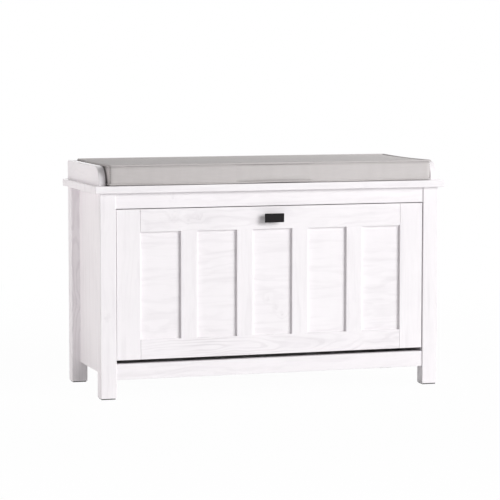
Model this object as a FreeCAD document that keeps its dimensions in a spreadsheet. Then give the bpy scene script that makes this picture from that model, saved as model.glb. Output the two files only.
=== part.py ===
import FreeCAD, Part
import math
import os
import re

import Sketcher

# Shoe storage bench: a white wooden chest on four legs, with a tip-out flap that carries
# a two-tier shoe rack, a seat board with low arms, and a loose cushion.
# Sizes are in millimetres and degrees. +X runs to the bench's right, +Y to its back, +Z up.
# The origin is on the floor, under the middle of the box that holds the whole bench.

SIZES = [
    # Frame
    ("frame_width", 900, "over the outer faces of the legs"),
    ("frame_depth", 346, "from the legs' fronts to the legs' backs"),
    ("leg_width", 41, "along X"),
    ("leg_depth", 35, "along Y"),
    ("leg_rounding", 2, "on the upright edges"),
    ("glide_height", 3, "plastic glide under each leg"),
    ("glide_inset", 3, "from the leg's faces to the glide's"),
    ("glide_nail_radius", 1, "nail moulded into the glide"),
    ("glide_nail_length", 15, "in the leg"),
    ("underside_height", 515, "floor to the underside of the board"),
    # Seat board and its upstands
    ("board_thickness", 18, "seat board"),
    ("board_side_overhang", 14, "beyond the legs' outer faces"),
    ("board_front_overhang", 12, "beyond the legs' fronts"),
    ("board_rounding", 1.5, "on all edges of the board"),
    ("arm_thickness", 18, "arms and back upstand"),
    ("arm_height", 48, "above the board"),
    ("arm_setback", 22, "from the board's front edge to the arms' fronts"),
    ("arm_nose", 40, "radius of the arms' upper front corner"),
    ("arm_rounding", 2.5, "on the arms' other edges"),
    # Side panels, rails, floor and back
    ("side_thickness", 16, "side panels"),
    ("side_inset", 22.5, "from a leg's outer face to the panel's"),
    ("side_bottom", 53, "floor to the panel's lower edge"),
    ("rail_thickness", 16, "all four rails"),
    ("rail_setback", 3, "from the legs' fronts to the front rails and flap"),
    ("top_rail_height", 39, "front and back top rails"),
    ("bottom_rail_bottom", 48.5, "floor to the bottom rails"),
    ("bottom_rail_height", 39.5, "front and back bottom rails"),
    ("back_rail_setback", 5, "from the legs' backs to the back rails"),
    ("plank_rounding", 1, "on the visible edges of rails and panels"),
    ("floor_thickness", 16, "floor panel"),
    ("floor_rise", 9.5, "from the rails' lower edges to the floor panel"),
    ("hardboard_thickness", 3, "back panel"),
    # Flap
    ("flap_side_gap", 1.6, "to the legs"),
    ("flap_bottom_gap", 9.5, "to the bottom rail, room for the flap's heel"),
    ("flap_top_gap", 2, "to the top rail"),
    ("strip_thickness", 7, "stiles, rails and muntins, glued on the flap's board"),
    ("stile_width", 61, "left and right stile"),
    ("flap_top_rail_width", 57, "between the stiles"),
    ("flap_bottom_rail_width", 49.5, "between the stiles"),
    ("muntin_width", 42, "each muntin"),
    ("stile_joint", 0.4, "open joint between a stile and a rail"),
    ("panel_count", 5, "recessed fields between stiles and muntins"),
    ("panel_thickness", 14, "flap's board"),
    ("flap_rounding", 0.8, "on the front edges of the stiles, rails and muntins"),
    # Knob
    ("knob_length", 50, "plate, along X"),
    ("knob_height", 22.5, "plate, along Z"),
    ("knob_plate_thickness", 6, "plate"),
    ("knob_stand", 18, "from the flap's front to the plate's front"),
    ("knob_stem_radius", 6, "round stem behind the plate"),
    ("knob_rounding", 1.2, "on the plate's edges"),
    ("knob_screw_radius", 2, "shank"),
    ("knob_screw_head_radius", 4, "pan head behind the flap's board"),
    ("knob_screw_head_height", 2.5, "pan head"),
    ("knob_screw_bite", 9, "length in the knob's stem"),
    # Pivot of the flap
    ("pivot_height", 14.5, "above the flap's lower edge"),
    ("pin_radius", 4, "pivot pins"),
    ("pin_in_board", 20, "length in the flap's board"),
    ("pin_in_bush", 11, "length in the leg's bush"),
    ("running_clearance", 0.08, "radial, pin in bush"),
    ("bush_wall", 2, "bush"),
    ("bush_depth", 13, "in the leg"),
    ("bush_flange_radius", 9, "bush flange"),
    ("bush_flange_thickness", 1, "in the gap between leg and flap"),
    # Stop of the flap
    ("tilt_range", 40, "from shut to the stop"),
    ("slot_radius", 120, "arc slot about the pivot"),
    ("stop_angle", 75, "of the stop pin above the horizontal, seen from the pivot"),
    ("stop_pin_radius", 4, "stop pins"),
    ("stop_clearance", 0.3, "round the stop pin in its slot"),
    ("stop_pin_seat", 12, "length in the side panel"),
    ("stop_pin_reach", 2, "past the cheek's inner face"),
    # Shoe rack
    ("cheek_thickness", 10, "rack cheeks"),
    ("cheek_gap", 3, "from a leg's inner face to the cheek"),
    ("rack_depth", 234, "behind the flap's board"),
    ("rack_lift", 2.5, "from the flap's lower edge to the rack's"),
    ("cheek_front_height", 330, "at the flap"),
    ("cheek_back_height", 235, "at the rack's back"),
    ("cheek_corner", 12, "radius of the cheeks' back corners"),
    ("tray_thickness", 12, "trays and back boards"),
    ("tray_inset", 2, "from the cheeks' edges to the trays and boards"),
    ("upper_tray_rise", 175, "rack's lower edge to the upper tray"),
    ("lower_board_height", 100, "back board on the lower tray"),
    ("upper_board_height", 38, "back board on the upper tray"),
    ("rack_screw_inset", 40, "from the trays' front and back to their screws"),
    # Magnetic catch
    ("strike_width", 40, "steel strike plate"),
    ("strike_height", 13, "steel strike plate"),
    ("strike_thickness", 1.5, "steel strike plate"),
    ("strike_screw_offset", 16, "from the middle"),
    ("catch_gap", 0.3, "from the strike plate to the catch's face"),
    ("catch_width", 46, "catch housing"),
    ("catch_depth", 14, "behind the top rail"),
    ("catch_drop", 16, "below the flap's upper edge"),
    ("catch_step", 3, "above the top rail's lower edge"),
    ("catch_rise", 34, "above the top rail's lower edge"),
    ("catch_screw_offset", 17, "from the middle"),
    ("magnet_width", 24, "magnet"),
    ("magnet_depth", 4, "magnet"),
    ("magnet_height", 10, "magnet"),
    ("magnet_rise", 2, "above the housing's lower edge"),
    # Joinery
    ("fit", 0.1, "radial clearance round a fixed pin or screw"),
    ("hole_end", 0.5, "spare depth of a hole"),
    ("dowel_radius", 4, "wooden dowels"),
    ("dowel_length", 30, "wooden dowels"),
    ("dowel_chamfer", 1, "wooden dowels"),
    ("dowel_seat", 10, "in a board's or panel's face"),
    ("dowel_spread", 24, "between the two dowels at a rail's end"),
    ("side_top_dowel_inset", 75, "from a leg to the dowel in the panel's top"),
    ("floor_dowel_inset", 65, "from a leg to the floor's dowel"),
    ("upstand_dowel_pitch", 200, "between the back upstand's dowels"),
    ("cheek_dowel_radius", 3, "dowels from the flap's board into the cheeks"),
    ("cheek_dowel_in_board", 9, "length in the flap's board"),
    ("cheek_dowel_in_cheek", 15, "length in the cheek"),
    ("cheek_dowel_rise", 60, "rack's lower edge to the lowest cheek dowel"),
    ("cheek_dowel_pitch", 110, "between cheek dowels"),
    ("cam_radius", 7.5, "cam locks"),
    ("cam_depth", 12, "cam locks"),
    ("cam_setback", 24, "from a piece's end to its cam"),
    ("cam_recess_radius", 2.5, "driver recess of a cam lock"),
    ("cam_recess_depth", 1.5, "driver recess of a cam lock"),
    ("cam_bolt_radius", 3, "cam bolts"),
    ("cam_bolt_neck_radius", 1.8, "behind the bolt's head"),
    ("cam_bolt_head", 3, "length of the bolt's head and of its neck"),
    ("cam_bolt_seat", 11, "length in the leg or board"),
    ("side_cam_inset", 57, "from a side panel's ends to its cams"),
    ("arm_screw_head_radius", 4, "from below into the arms"),
    ("arm_screw_head_height", 2.5, "countersunk"),
    ("arm_screw_radius", 2, "shank"),
    ("arm_screw_length", 40, "whole screw"),
    ("arm_screw_inset", 35, "from a leg to the arm's end screws"),
    ("rack_screw_head_radius", 4.5, "through the cheeks"),
    ("rack_screw_head_height", 3, "countersunk"),
    ("rack_screw_radius", 2.5, "shank"),
    ("rack_screw_length", 40, "whole screw"),
    ("catch_screw_head_radius", 3.5, "catch housing"),
    ("catch_screw_head_height", 2.5, "countersunk"),
    ("catch_screw_radius", 1.75, "shank"),
    ("catch_screw_length", 24, "whole screw"),
    ("strike_screw_head_radius", 2.4, "strike plate"),
    ("strike_screw_head_height", 1.2, "countersunk"),
    ("strike_screw_radius", 1.2, "shank"),
    ("strike_screw_length", 10, "whole screw"),
    ("nail_head_radius", 2, "hardboard nails"),
    ("nail_head_height", 0.6, "countersunk"),
    ("nail_radius", 0.8, "shank"),
    ("nail_length", 15, "whole nail"),
    ("nail_pitch", 120, "between the hardboard's nails"),
    ("nail_end_gap", 45, "least, from a leg to a nail, clear of the cams"),
    # Cushion
    ("cushion_side_gap", 3.5, "to each arm"),
    ("cushion_back_gap", 1, "to the back upstand"),
    ("cushion_lift", 0.3, "above the board"),
    ("cushion_rim", 50.5, "height of the side walls"),
    ("cushion_crown", 3.7, "rise of the top above the side walls, in the middle"),
    ("cushion_end_crown", 0.8, "rise of the top above the side walls, at the ends"),
    ("cushion_shoulder", 60, "from the side walls to the flat of the top"),
    ("cushion_bulge", 2, "of the side walls"),
    ("cushion_pull", 3, "of the long sides between their corners"),
    ("cushion_corner", 6, "radius of the upright corners"),
]

ROUND_TRIP = 360
ARM_SCREWS_EACH = 3
SIDE_DOWELS_EACH = 3
CHEEK_DOWELS_EACH = 3
UPSTAND_DOWELS_EACH_SIDE = 2

doc = FreeCAD.newDocument("ShoeBench")
sheet = doc.addObject("Spreadsheet::Sheet", "Sizes")
for row, (alias, number, meaning) in enumerate(SIZES, start=1):
    sheet.set(f"A{row}", alias)
    sheet.set(f"B{row}", str(number))
    sheet.setAlias(f"B{row}", alias)
    sheet.set(f"C{row}", meaning)
size_names = {alias for alias, number, meaning in SIZES}

places = doc.addObject("App::VarSet", "Places")
place_names = set()
nodes = []


# Helpers

def formula(text):
    """The text with the owner of each size or place written before its name."""
    def owned(match):
        word = match.group()
        if word in size_names:
            return "Sizes." + word
        if word in place_names:
            return "Places." + word
        return word
    return re.sub(r"[a-z_]+", owned, text)


def place(name, text):
    """Names a place that follows from the sizes."""
    places.addProperty("App::PropertyFloat", name)
    places.setExpression(name, formula(text))
    place_names.add(name)


def value(name):
    """The number behind a size or a place, once the document is recomputed."""
    return float(sheet.get(name)) if name in size_names else getattr(places, name)


def put(thing, x, y, z):
    """Ties the thing's position to three formulas."""
    for axis, text in zip("xyz", (x, y, z)):
        thing.setExpression(f"Placement.Base.{axis}", formula(text))


def keep(label, thing):
    """Makes the thing a sub-part of the bench under its label."""
    thing.Label = label
    nodes.append(thing)
    return thing


def new_body(name):
    return doc.addObject("PartDesign::Body", name)


def new_sketch(body, role):
    """A sketch on one of the body's own origin planes."""
    plane = next(item for item in body.Origin.OriginFeatures if item.Role == role)
    sketch = body.newObject("Sketcher::SketchObject", body.Name + "_sketch")
    sketch.AttachmentSupport = [(plane, "")]
    sketch.MapMode = "FlatFace"
    return sketch


def tie(sketch, kind, *geometry, text, start):
    """Adds a constraint whose value follows a formula, from a first value."""
    index = sketch.addConstraint(Sketcher.Constraint(kind, *geometry, start))
    sketch.setExpression(f"Constraints[{index}]", formula(text))


def draw_outline(sketch, points):
    """Draws a closed line through the points, each tied to its two formulas."""
    count = len(points)
    step = 2 * math.pi / count
    first = [FreeCAD.Vector(math.cos(k * step), math.sin(k * step), 0) for k in range(count)]
    for k in range(count):
        sketch.addGeometry(Part.LineSegment(first[k], first[(k + 1) % count]))
    for k, (x, y) in enumerate(points):
        sketch.addConstraint(Sketcher.Constraint("Coincident", k, 2, (k + 1) % count, 1))
        tie(sketch, "DistanceX", -1, 1, k, 1, text=x, start=first[k].x)
        tie(sketch, "DistanceY", -1, 1, k, 1, text=y, start=first[k].y)


def draw_circle(sketch, x, y, radius):
    """Draws a circle with its centre and radius tied to formulas."""
    circle = Part.Circle(FreeCAD.Vector(1, 1, 0), FreeCAD.Vector(0, 0, 1), 1)
    sketch.addGeometry(circle)
    tie(sketch, "DistanceX", -1, 1, 0, 3, text=x, start=1)
    tie(sketch, "DistanceY", -1, 1, 0, 3, text=y, start=1)
    tie(sketch, "Radius", 0, text=radius, start=1)


def pad(body, sketch, length, reverse=False, both_ways=False):
    feature = body.newObject("PartDesign::Pad", body.Name + "_pad")
    feature.Profile = sketch
    feature.setExpression("Length", formula(length))
    feature.Reversed = reverse
    feature.Midplane = both_ways
    return feature


SIDE_ENDS = {
    "left": ("XMax", "XMin"),
    "right": ("XMin", "XMax"),
    "front": ("YMax", "YMin"),
    "back": ("YMin", "YMax"),
    "bottom": ("ZMax", "ZMin"),
    "top": ("ZMin", "ZMax"),
}
CLOSE = 0.001


def matches(edge, box, word):
    """Whether an edge lies on the named side of the box, or runs along the named axis."""
    if word in ("x", "y", "z"):
        spans = {"x": edge.XLength, "y": edge.YLength, "z": edge.ZLength}
        return all(spans[axis] < CLOSE for axis in spans if axis != word)
    far, near = SIDE_ENDS[word]
    return abs(getattr(edge, far) - getattr(box, near)) < CLOSE


def round_edges(body, feature, radius, picks):
    """Rounds the feature's edges that match every word of one of the picks."""
    doc.recompute()
    box = feature.Shape.BoundBox
    names = []
    for number, edge in enumerate(feature.Shape.Edges, start=1):
        if any(all(matches(edge.BoundBox, box, word) for word in pick.split()) for pick in picks):
            names.append(f"Edge{number}")
    fillet = body.newObject("PartDesign::Fillet", body.Name + "_fillet")
    fillet.Base = (feature, names)
    fillet.setExpression("Radius", formula(radius))
    return fillet


def plank(name, corner, size, radius=None, picks=()):
    """A square piece of wood from its lowest corner and its three sizes."""
    body = new_body(name)
    sketch = new_sketch(body, "XY_Plane")
    draw_outline(sketch, [("0", "0"), (size[0], "0"), (size[0], size[1]), ("0", size[1])])
    feature = pad(body, sketch, size[2])
    put(body, *corner)
    if picks:
        round_edges(body, feature, radius, picks)
    return body


def turned(name, profile):
    """A round piece about its own Z axis, from radius and height pairs."""
    body = new_body(name)
    sketch = new_sketch(body, "XZ_Plane")
    draw_outline(sketch, profile)
    feature = body.newObject("PartDesign::Revolution", name + "_revolution")
    feature.Profile = sketch
    feature.ReferenceAxis = (sketch, ["V_Axis"])
    feature.Angle = ROUND_TRIP
    return body


def straight_hole(name, radius, start, end):
    """The space of a hole for a fixed round piece, with its clearance and spare depth."""
    wall = f"{radius} + fit"
    low = f"{start} - hole_end"
    high = f"{end} + hole_end"
    return turned(name, [("0", low), (wall, low), (wall, high), ("0", high)])


def dowel_kit(name, radius, length):
    """A chamfered dowel about its middle, and its hole."""
    half = f"{length} / 2"
    tip = f"{radius} - dowel_chamfer"
    shoulder = f"{half} - dowel_chamfer"
    item = turned(name, [
        ("0", f"-{half}"), (tip, f"-{half}"), (radius, f"-({shoulder})"),
        (radius, shoulder), (tip, half), ("0", half)])
    return item, straight_hole(name + "_hole", radius, f"-{half}", half)


def screw_kit(name):
    """A countersunk screw from its head's face, and its hole."""
    head, height = f"{name}_head_radius", f"{name}_head_height"
    shank, length = f"{name}_radius", f"{name}_length"
    item = turned(name, [
        ("0", f"{height} / 2"), (f"{shank} / 2", f"{height} / 2"), (f"{shank} / 2", "0"),
        (head, "0"), (shank, height), (shank, f"{length} - {shank}"), ("0", length)])
    hole = turned(name + "_hole", [
        ("0", "-hole_end"), (f"{head} + fit", "-hole_end"), (f"{head} + fit", "0"),
        (f"{shank} + fit", height), (f"{shank} + fit", f"{length} + hole_end"),
        ("0", f"{length} + hole_end")])
    return item, hole


WAYS = {
    "+x": FreeCAD.Vector(1, 0, 0),
    "-x": FreeCAD.Vector(-1, 0, 0),
    "+y": FreeCAD.Vector(0, 1, 0),
    "-y": FreeCAD.Vector(0, -1, 0),
    "+z": FreeCAD.Vector(0, 0, 1),
}


def spread(name, model, spots):
    """A copy of a turned piece at each spot: x, y, z and the way that its axis points."""
    copies = []
    for number, (x, y, z, way) in enumerate(spots, start=1):
        copy = doc.addObject("App::Link", f"{name}_{number}")
        copy.LinkedObject = model
        turn = FreeCAD.Rotation(FreeCAD.Vector(0, 0, 1), WAYS[way])
        copy.Placement = FreeCAD.Placement(FreeCAD.Vector(), turn)
        put(copy, x, y, z)
        copies.append(copy)
    group = doc.addObject("Part::Compound", name)
    group.Links = copies
    return group


def fasten(label, kit, spots):
    """Puts a group of like fasteners at the spots and returns the space of their holes."""
    item, hole = kit
    keep(label, spread(label, item, spots))
    return spread(label + "_holes", hole, spots)


def drill(label, blank, *rounds):
    """Cuts hole spaces out of a blank. Spaces that cross each other go in separate rounds."""
    piece = blank
    for number, spaces in enumerate(rounds, start=1):
        tool = doc.addObject("Part::Compound", f"{label}_tool_{number}")
        tool.Links = spaces
        cut = doc.addObject("Part::Cut", f"{label}_cut_{number}")
        cut.Base = piece
        cut.Tool = tool
        piece = cut
    return keep(label, piece)


HANDS = ("left", "right")
OUTWARD = {"left": "-x", "right": "+x"}
INWARD = {"left": "+x", "right": "-x"}


def across(hand, text):
    """A distance from the middle, on the given hand's side."""
    return text if hand == "right" else f"-({text})"


def low_side(hand, near, width):
    """The lowest X of a piece that starts at near, counted from the middle."""
    return near if hand == "right" else f"-({near}) - ({width})"


# Places that follow from the sizes

place("leg_outer", "frame_width / 2")
place("leg_inner", "leg_outer - leg_width")
place("leg_middle", "leg_outer - leg_width / 2")
place("side_outer", "leg_outer - side_inset")
place("side_inner", "side_outer - side_thickness")
place("side_middle", "side_outer - side_thickness / 2")
place("knob_reach", "knob_stand - rail_setback")
place("front", "-(frame_depth - max(knob_reach; board_front_overhang)) / 2")
place("back", "front + frame_depth")
place("front_leg_middle", "front + leg_depth / 2")
place("front_leg_back", "front + leg_depth")
place("back_leg_front", "back - leg_depth")
place("back_leg_middle", "back - leg_depth / 2")
place("rail_front", "front + rail_setback")
place("rail_middle", "rail_front + rail_thickness / 2")
place("rail_back", "rail_front + rail_thickness")
place("back_rail_back", "back - back_rail_setback")
place("back_rail_middle", "back_rail_back - rail_thickness / 2")
place("back_rail_front", "back_rail_back - rail_thickness")
place("hardboard_back", "back_rail_back + hardboard_thickness")
place("top_rail_bottom", "underside_height - top_rail_height")
place("top_rail_level", "underside_height - top_rail_height / 2")
place("bottom_rail_level", "bottom_rail_bottom + bottom_rail_height / 2")
place("floor_bottom", "bottom_rail_bottom + floor_rise")
place("seat_top", "underside_height + board_thickness")
place("board_front", "front - board_front_overhang")
place("arm_inner", "leg_outer - arm_thickness")
place("arm_front", "board_front + arm_setback")

place("flap_edge", "leg_inner - flap_side_gap")
place("flap_bottom", "bottom_rail_bottom + bottom_rail_height + flap_bottom_gap")
place("flap_top", "top_rail_bottom - flap_top_gap")
place("panel_front", "rail_front + strip_thickness")
place("panel_back", "panel_front + panel_thickness")
place("stile_inner", "flap_edge - stile_width")
place("field_top", "flap_top - flap_top_rail_width")
place("field_bottom", "flap_bottom + flap_bottom_rail_width")
place("muntin_pitch", "(2 * stile_inner + muntin_width) / floor(panel_count)")
place("knob_level", "flap_top - flap_top_rail_width / 2")

place("pivot_y", "panel_front + panel_thickness / 2")
place("pivot_level", "flap_bottom + pivot_height")
place("stop_y", "pivot_y + slot_radius * cos(stop_angle)")
place("stop_level", "pivot_level + slot_radius * sin(stop_angle)")

place("cheek_outer", "leg_inner - cheek_gap")
place("cheek_inner", "cheek_outer - cheek_thickness")
place("cheek_middle", "cheek_outer - cheek_thickness / 2")
place("rack_back", "panel_back + rack_depth")
place("rack_bottom", "flap_bottom + rack_lift")
place("lower_tray_bottom", "rack_bottom + tray_inset")
place("upper_tray_bottom", "rack_bottom + upper_tray_rise")
place("rack_board_back", "rack_back - tray_inset")
place("rack_board_front", "rack_board_back - tray_thickness")

place("strike_back", "panel_back + strike_thickness")
place("catch_face", "strike_back + catch_gap")
place("catch_back", "rail_back + catch_depth")
place("catch_bottom", "flap_top - catch_drop")

doc.recompute()
muntin_count = math.floor(value("panel_count")) - 1
nails_each_side = math.floor((value("leg_inner") - value("nail_end_gap")) / value("nail_pitch"))

LEGS = {
    "front_leg": ("front", "front_leg_middle"),
    "back_leg": ("back_leg_front", "back_leg_middle"),
}
RAILS = {
    "front_top_rail": ("rail_front", "rail_middle", "top_rail_bottom", "top_rail_height",
                       "top_rail_level"),
    "front_bottom_rail": ("rail_front", "rail_middle", "bottom_rail_bottom",
                          "bottom_rail_height", "bottom_rail_level"),
    "back_top_rail": ("back_rail_front", "back_rail_middle", "top_rail_bottom",
                      "top_rail_height", "top_rail_level"),
    "back_bottom_rail": ("back_rail_front", "back_rail_middle", "bottom_rail_bottom",
                         "bottom_rail_height", "bottom_rail_level"),
}


# Joinery of the carcass

dowel = dowel_kit("dowel", "dowel_radius", "dowel_length")
cheek_dowel = dowel_kit("cheek_dowel", "cheek_dowel_radius",
                        "(cheek_dowel_in_board + cheek_dowel_in_cheek)")
cam_bolt_neck = "cam_setback - 2 * cam_bolt_head"
cam_bolt = (
    turned("cam_bolt", [
        ("0", "-cam_bolt_seat"), ("cam_bolt_radius", "-cam_bolt_seat"),
        ("cam_bolt_radius", cam_bolt_neck), ("cam_bolt_neck_radius", cam_bolt_neck),
        ("cam_bolt_neck_radius", "cam_setback - cam_bolt_head"),
        ("cam_bolt_radius", "cam_setback - cam_bolt_head"),
        ("cam_bolt_radius", "cam_setback"), ("0", "cam_setback")]),
    straight_hole("cam_bolt_hole", "cam_bolt_radius", "-cam_bolt_seat", "cam_setback"),
)
cam_lock = (
    turned("cam_lock", [
        ("0", "cam_recess_depth"), ("cam_recess_radius", "cam_recess_depth"),
        ("cam_recess_radius", "0"),
        ("cam_radius", "0"), ("cam_radius", "cam_depth"), ("0", "cam_depth")]),
    straight_hole("cam_lock_hole", "cam_radius", "0", "cam_depth"),
)

rail_dowel_spots = []
cam_bolt_spots = []
cam_lock_spots = []
for hand in HANDS:
    for y_low, y_middle, z_low, height, level in RAILS.values():
        for half in ("+ dowel_spread / 2", "- dowel_spread / 2"):
            rail_dowel_spots.append((across(hand, "leg_inner"), y_middle, f"{level} {half}",
                                     OUTWARD[hand]))
        cam_bolt_spots.append((across(hand, "leg_inner"), y_middle, level, INWARD[hand]))
        behind = y_middle == "rail_middle"
        cam_lock_spots.append((across(hand, "leg_inner - cam_setback"),
                               "rail_back" if behind else "back_rail_front", level,
                               "-y" if behind else "+y"))
    for level in ("side_bottom + side_cam_inset", "underside_height - side_cam_inset"):
        for edge, way, inner in (("front_leg_back", "+y", "front_leg_back + cam_setback"),
                                 ("back_leg_front", "-y", "back_leg_front - cam_setback")):
            cam_bolt_spots.append((across(hand, "side_middle"), edge, level, way))
            cam_lock_spots.append((across(hand, "side_inner"), inner, level, OUTWARD[hand]))

side_dowel_spots = []
for hand in HANDS:
    for number in range(1, SIDE_DOWELS_EACH + 1):
        share = f"{number} / {SIDE_DOWELS_EACH + 1}"
        level = f"side_bottom + (underside_height - side_bottom) * {share}"
        for edge in ("front_leg_back", "back_leg_front"):
            side_dowel_spots.append((across(hand, "side_middle"), edge, level, "+y"))

below_board = "underside_height + dowel_seat - dowel_length / 2"
above_board = "seat_top - dowel_seat + dowel_length / 2"
board_dowel_spots = []
for hand in HANDS:
    for y_low, y_middle in LEGS.values():
        board_dowel_spots.append((across(hand, "leg_middle"), y_middle, below_board, "+z"))
    for y in ("front_leg_back + side_top_dowel_inset", "back_leg_front - side_top_dowel_inset"):
        board_dowel_spots.append((across(hand, "side_middle"), y, below_board, "+z"))
    for number in range(UPSTAND_DOWELS_EACH_SIDE):
        x = across(hand, f"upstand_dowel_pitch * ({number} + 1 / 2)")
        board_dowel_spots.append((x, "back - arm_thickness / 2", above_board, "+z"))

floor_level = "floor_bottom + floor_thickness / 2"
floor_dowel_x = "side_inner + dowel_seat - dowel_length / 2"
floor_dowel_spots = [
    (across(hand, floor_dowel_x), y, floor_level, "+x")
    for hand in HANDS
    for y in ("front_leg_back + floor_dowel_inset", "back_leg_front - floor_dowel_inset")]

rail_dowel_holes = fasten("rail_dowels", dowel, rail_dowel_spots)
side_dowel_holes = fasten("side_dowels", dowel, side_dowel_spots)
board_dowel_holes = fasten("board_dowels", dowel, board_dowel_spots)
floor_dowel_holes = fasten("floor_dowels", dowel, floor_dowel_spots)
cam_bolt_holes = fasten("cam_bolts", cam_bolt, cam_bolt_spots)
cam_lock_holes = spread("cam_lock_holes", cam_lock[1], cam_lock_spots)
drill("cam_locks", spread("cam_lock_blanks", cam_lock[0], cam_lock_spots), [cam_bolt_holes])


# Pivot bushes, pivot pins and stop pins

bush_bore = "pin_radius + running_clearance"
bush_outer = f"{bush_bore} + bush_wall"
bush = turned("bush", [
    (bush_bore, "-bush_flange_thickness"), ("bush_flange_radius", "-bush_flange_thickness"),
    ("bush_flange_radius", "0"), (bush_outer, "0"), (bush_outer, "bush_depth"),
    (bush_bore, "bush_depth")])
bush_hole = straight_hole("bush_hole", bush_outer, "0", "bush_depth")
pin_end = "flap_side_gap + pin_in_bush"
pin_tip = "pin_radius - dowel_chamfer"
pivot_pin = turned("pivot_pin", [
    ("0", "-pin_in_board"), ("pin_radius", "-pin_in_board"),
    ("pin_radius", f"{pin_end} - dowel_chamfer"), (pin_tip, pin_end), ("0", pin_end)])
pivot_pin_hole = straight_hole("pivot_pin_hole", "pin_radius", "-pin_in_board", "0")
stop_pin_end = "side_inner - cheek_inner + stop_pin_reach"
stop_pin_tip = "stop_pin_radius - dowel_chamfer"
stop_pin = turned("stop_pin", [
    ("0", "-stop_pin_seat"), ("stop_pin_radius", "-stop_pin_seat"),
    ("stop_pin_radius", f"{stop_pin_end} - dowel_chamfer"), (stop_pin_tip, stop_pin_end),
    ("0", stop_pin_end)])
stop_pin_hole = straight_hole("stop_pin_hole", "stop_pin_radius", "-stop_pin_seat", "0")

pivot_pin_holes = []
bush_holes = []
stop_pin_holes = []
for hand in HANDS:
    at_leg = (across(hand, "leg_inner"), "pivot_y", "pivot_level", OUTWARD[hand])
    at_flap = (across(hand, "flap_edge"), "pivot_y", "pivot_level", OUTWARD[hand])
    at_side = (across(hand, "side_inner"), "stop_y", "stop_level", INWARD[hand])
    keep(f"pivot_bush_{hand}", spread(f"pivot_bush_{hand}", bush, [at_leg]))
    keep(f"pivot_pin_{hand}", spread(f"pivot_pin_{hand}", pivot_pin, [at_flap]))
    keep(f"stop_pin_{hand}", spread(f"stop_pin_{hand}", stop_pin, [at_side]))
    bush_holes.append(spread(f"bush_hole_{hand}", bush_hole, [at_leg]))
    pivot_pin_holes.append(spread(f"pivot_pin_hole_{hand}", pivot_pin_hole, [at_flap]))
    stop_pin_holes.append(spread(f"stop_pin_hole_{hand}", stop_pin_hole, [at_side]))


# Legs and their glides

UPRIGHT = ("front left", "front right", "back left", "back right")
glide_nail_hole = straight_hole("glide_nail_hole", "glide_nail_radius", "glide_height",
                                "glide_height + glide_nail_length")
for hand in HANDS:
    for leg, (y_low, y_middle) in LEGS.items():
        label = f"{leg}_{hand}"
        x_low = low_side(hand, "leg_inner", "leg_width")
        blank = plank(f"{label}_blank", (x_low, y_low, "glide_height"),
                      ("leg_width", "leg_depth", "underside_height - glide_height"),
                      "leg_rounding", UPRIGHT)
        spot = (across(hand, "leg_middle"), y_middle, "0", "+z")
        nail_hole = spread(f"{label}_glide_hole", glide_nail_hole, [spot])
        spaces = [rail_dowel_holes, side_dowel_holes, board_dowel_holes, cam_bolt_holes,
                  nail_hole]
        if leg == "front_leg":
            spaces += bush_holes
        drill(label, blank, spaces)

        glide = plank(f"{leg}_{hand}_glide",
                      (f"{x_low} + glide_inset", f"{y_low} + glide_inset", "0"),
                      ("leg_width - 2 * glide_inset", "leg_depth - 2 * glide_inset",
                       "glide_height"))
        nail_sketch = new_sketch(glide, "XY_Plane")
        draw_circle(nail_sketch, "leg_width / 2 - glide_inset", "leg_depth / 2 - glide_inset",
                    "glide_nail_radius")
        pad(glide, nail_sketch, "glide_height + glide_nail_length")
        keep(leg.replace("_leg", "_glide") + f"_{hand}", glide)


# Side panels, rails, floor and hardboard back

for hand in HANDS:
    blank = plank(f"side_panel_{hand}_blank",
                  (low_side(hand, "side_inner", "side_thickness"), "front_leg_back",
                   "side_bottom"),
                  ("side_thickness", "back_leg_front - front_leg_back",
                   "underside_height - side_bottom"),
                  "plank_rounding", ("left bottom", "right bottom"))
    drill(f"side_panel_{hand}", blank,
          [side_dowel_holes, board_dowel_holes, floor_dowel_holes, cam_bolt_holes,
           *stop_pin_holes],
          [cam_lock_holes])

catch_screw = screw_kit("catch_screw")
catch_screw_spots = [
    (across(hand, "catch_screw_offset"), "catch_back",
     "top_rail_bottom + (catch_step + catch_rise) / 2", "-y")
    for hand in HANDS]
catch_screw_holes = fasten("catch_screws", catch_screw, catch_screw_spots)

nail = screw_kit("nail")
nail_spots = [
    (f"{number} * nail_pitch", "hardboard_back", level, "-y")
    for number in range(-nails_each_side, nails_each_side + 1)
    for level in ("top_rail_level", "bottom_rail_level")]
nail_holes = fasten("back_panel_nails", nail, nail_spots)

for label, (y_low, y_middle, z_low, height, level) in RAILS.items():
    at_front = label.startswith("front")
    picks = ("front top", "front bottom") if at_front else ("back bottom",)
    blank = plank(f"{label}_blank", ("-leg_inner", y_low, z_low),
                  ("2 * leg_inner", "rail_thickness", height), "plank_rounding", picks)
    spaces = [rail_dowel_holes, cam_bolt_holes]
    if label == "front_top_rail":
        spaces.append(catch_screw_holes)
    if not at_front:
        spaces.append(nail_holes)
    drill(label, blank, spaces, [cam_lock_holes])

floor_blank = new_body("floor_panel_blank")
floor_sketch = new_sketch(floor_blank, "XY_Plane")
floor_right = [
    ("leg_inner", "rail_back"), ("leg_inner", "front_leg_back"),
    ("side_inner", "front_leg_back"), ("side_inner", "back_leg_front"),
    ("leg_inner", "back_leg_front"), ("leg_inner", "back_rail_front")]
floor_left = [(f"-{x}", y) for x, y in reversed(floor_right)]
draw_outline(floor_sketch, floor_right + floor_left)
pad(floor_blank, floor_sketch, "floor_thickness")
put(floor_blank, "0", "0", "floor_bottom")
drill("floor_panel", floor_blank, [floor_dowel_holes])

hardboard_blank = plank("back_panel_blank",
                        ("-leg_inner", "back_rail_back", "bottom_rail_bottom"),
                        ("2 * leg_inner", "hardboard_thickness",
                         "underside_height - bottom_rail_bottom"))
drill("back_panel", hardboard_blank, [nail_holes])


# Seat board, arms and back upstand

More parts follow.
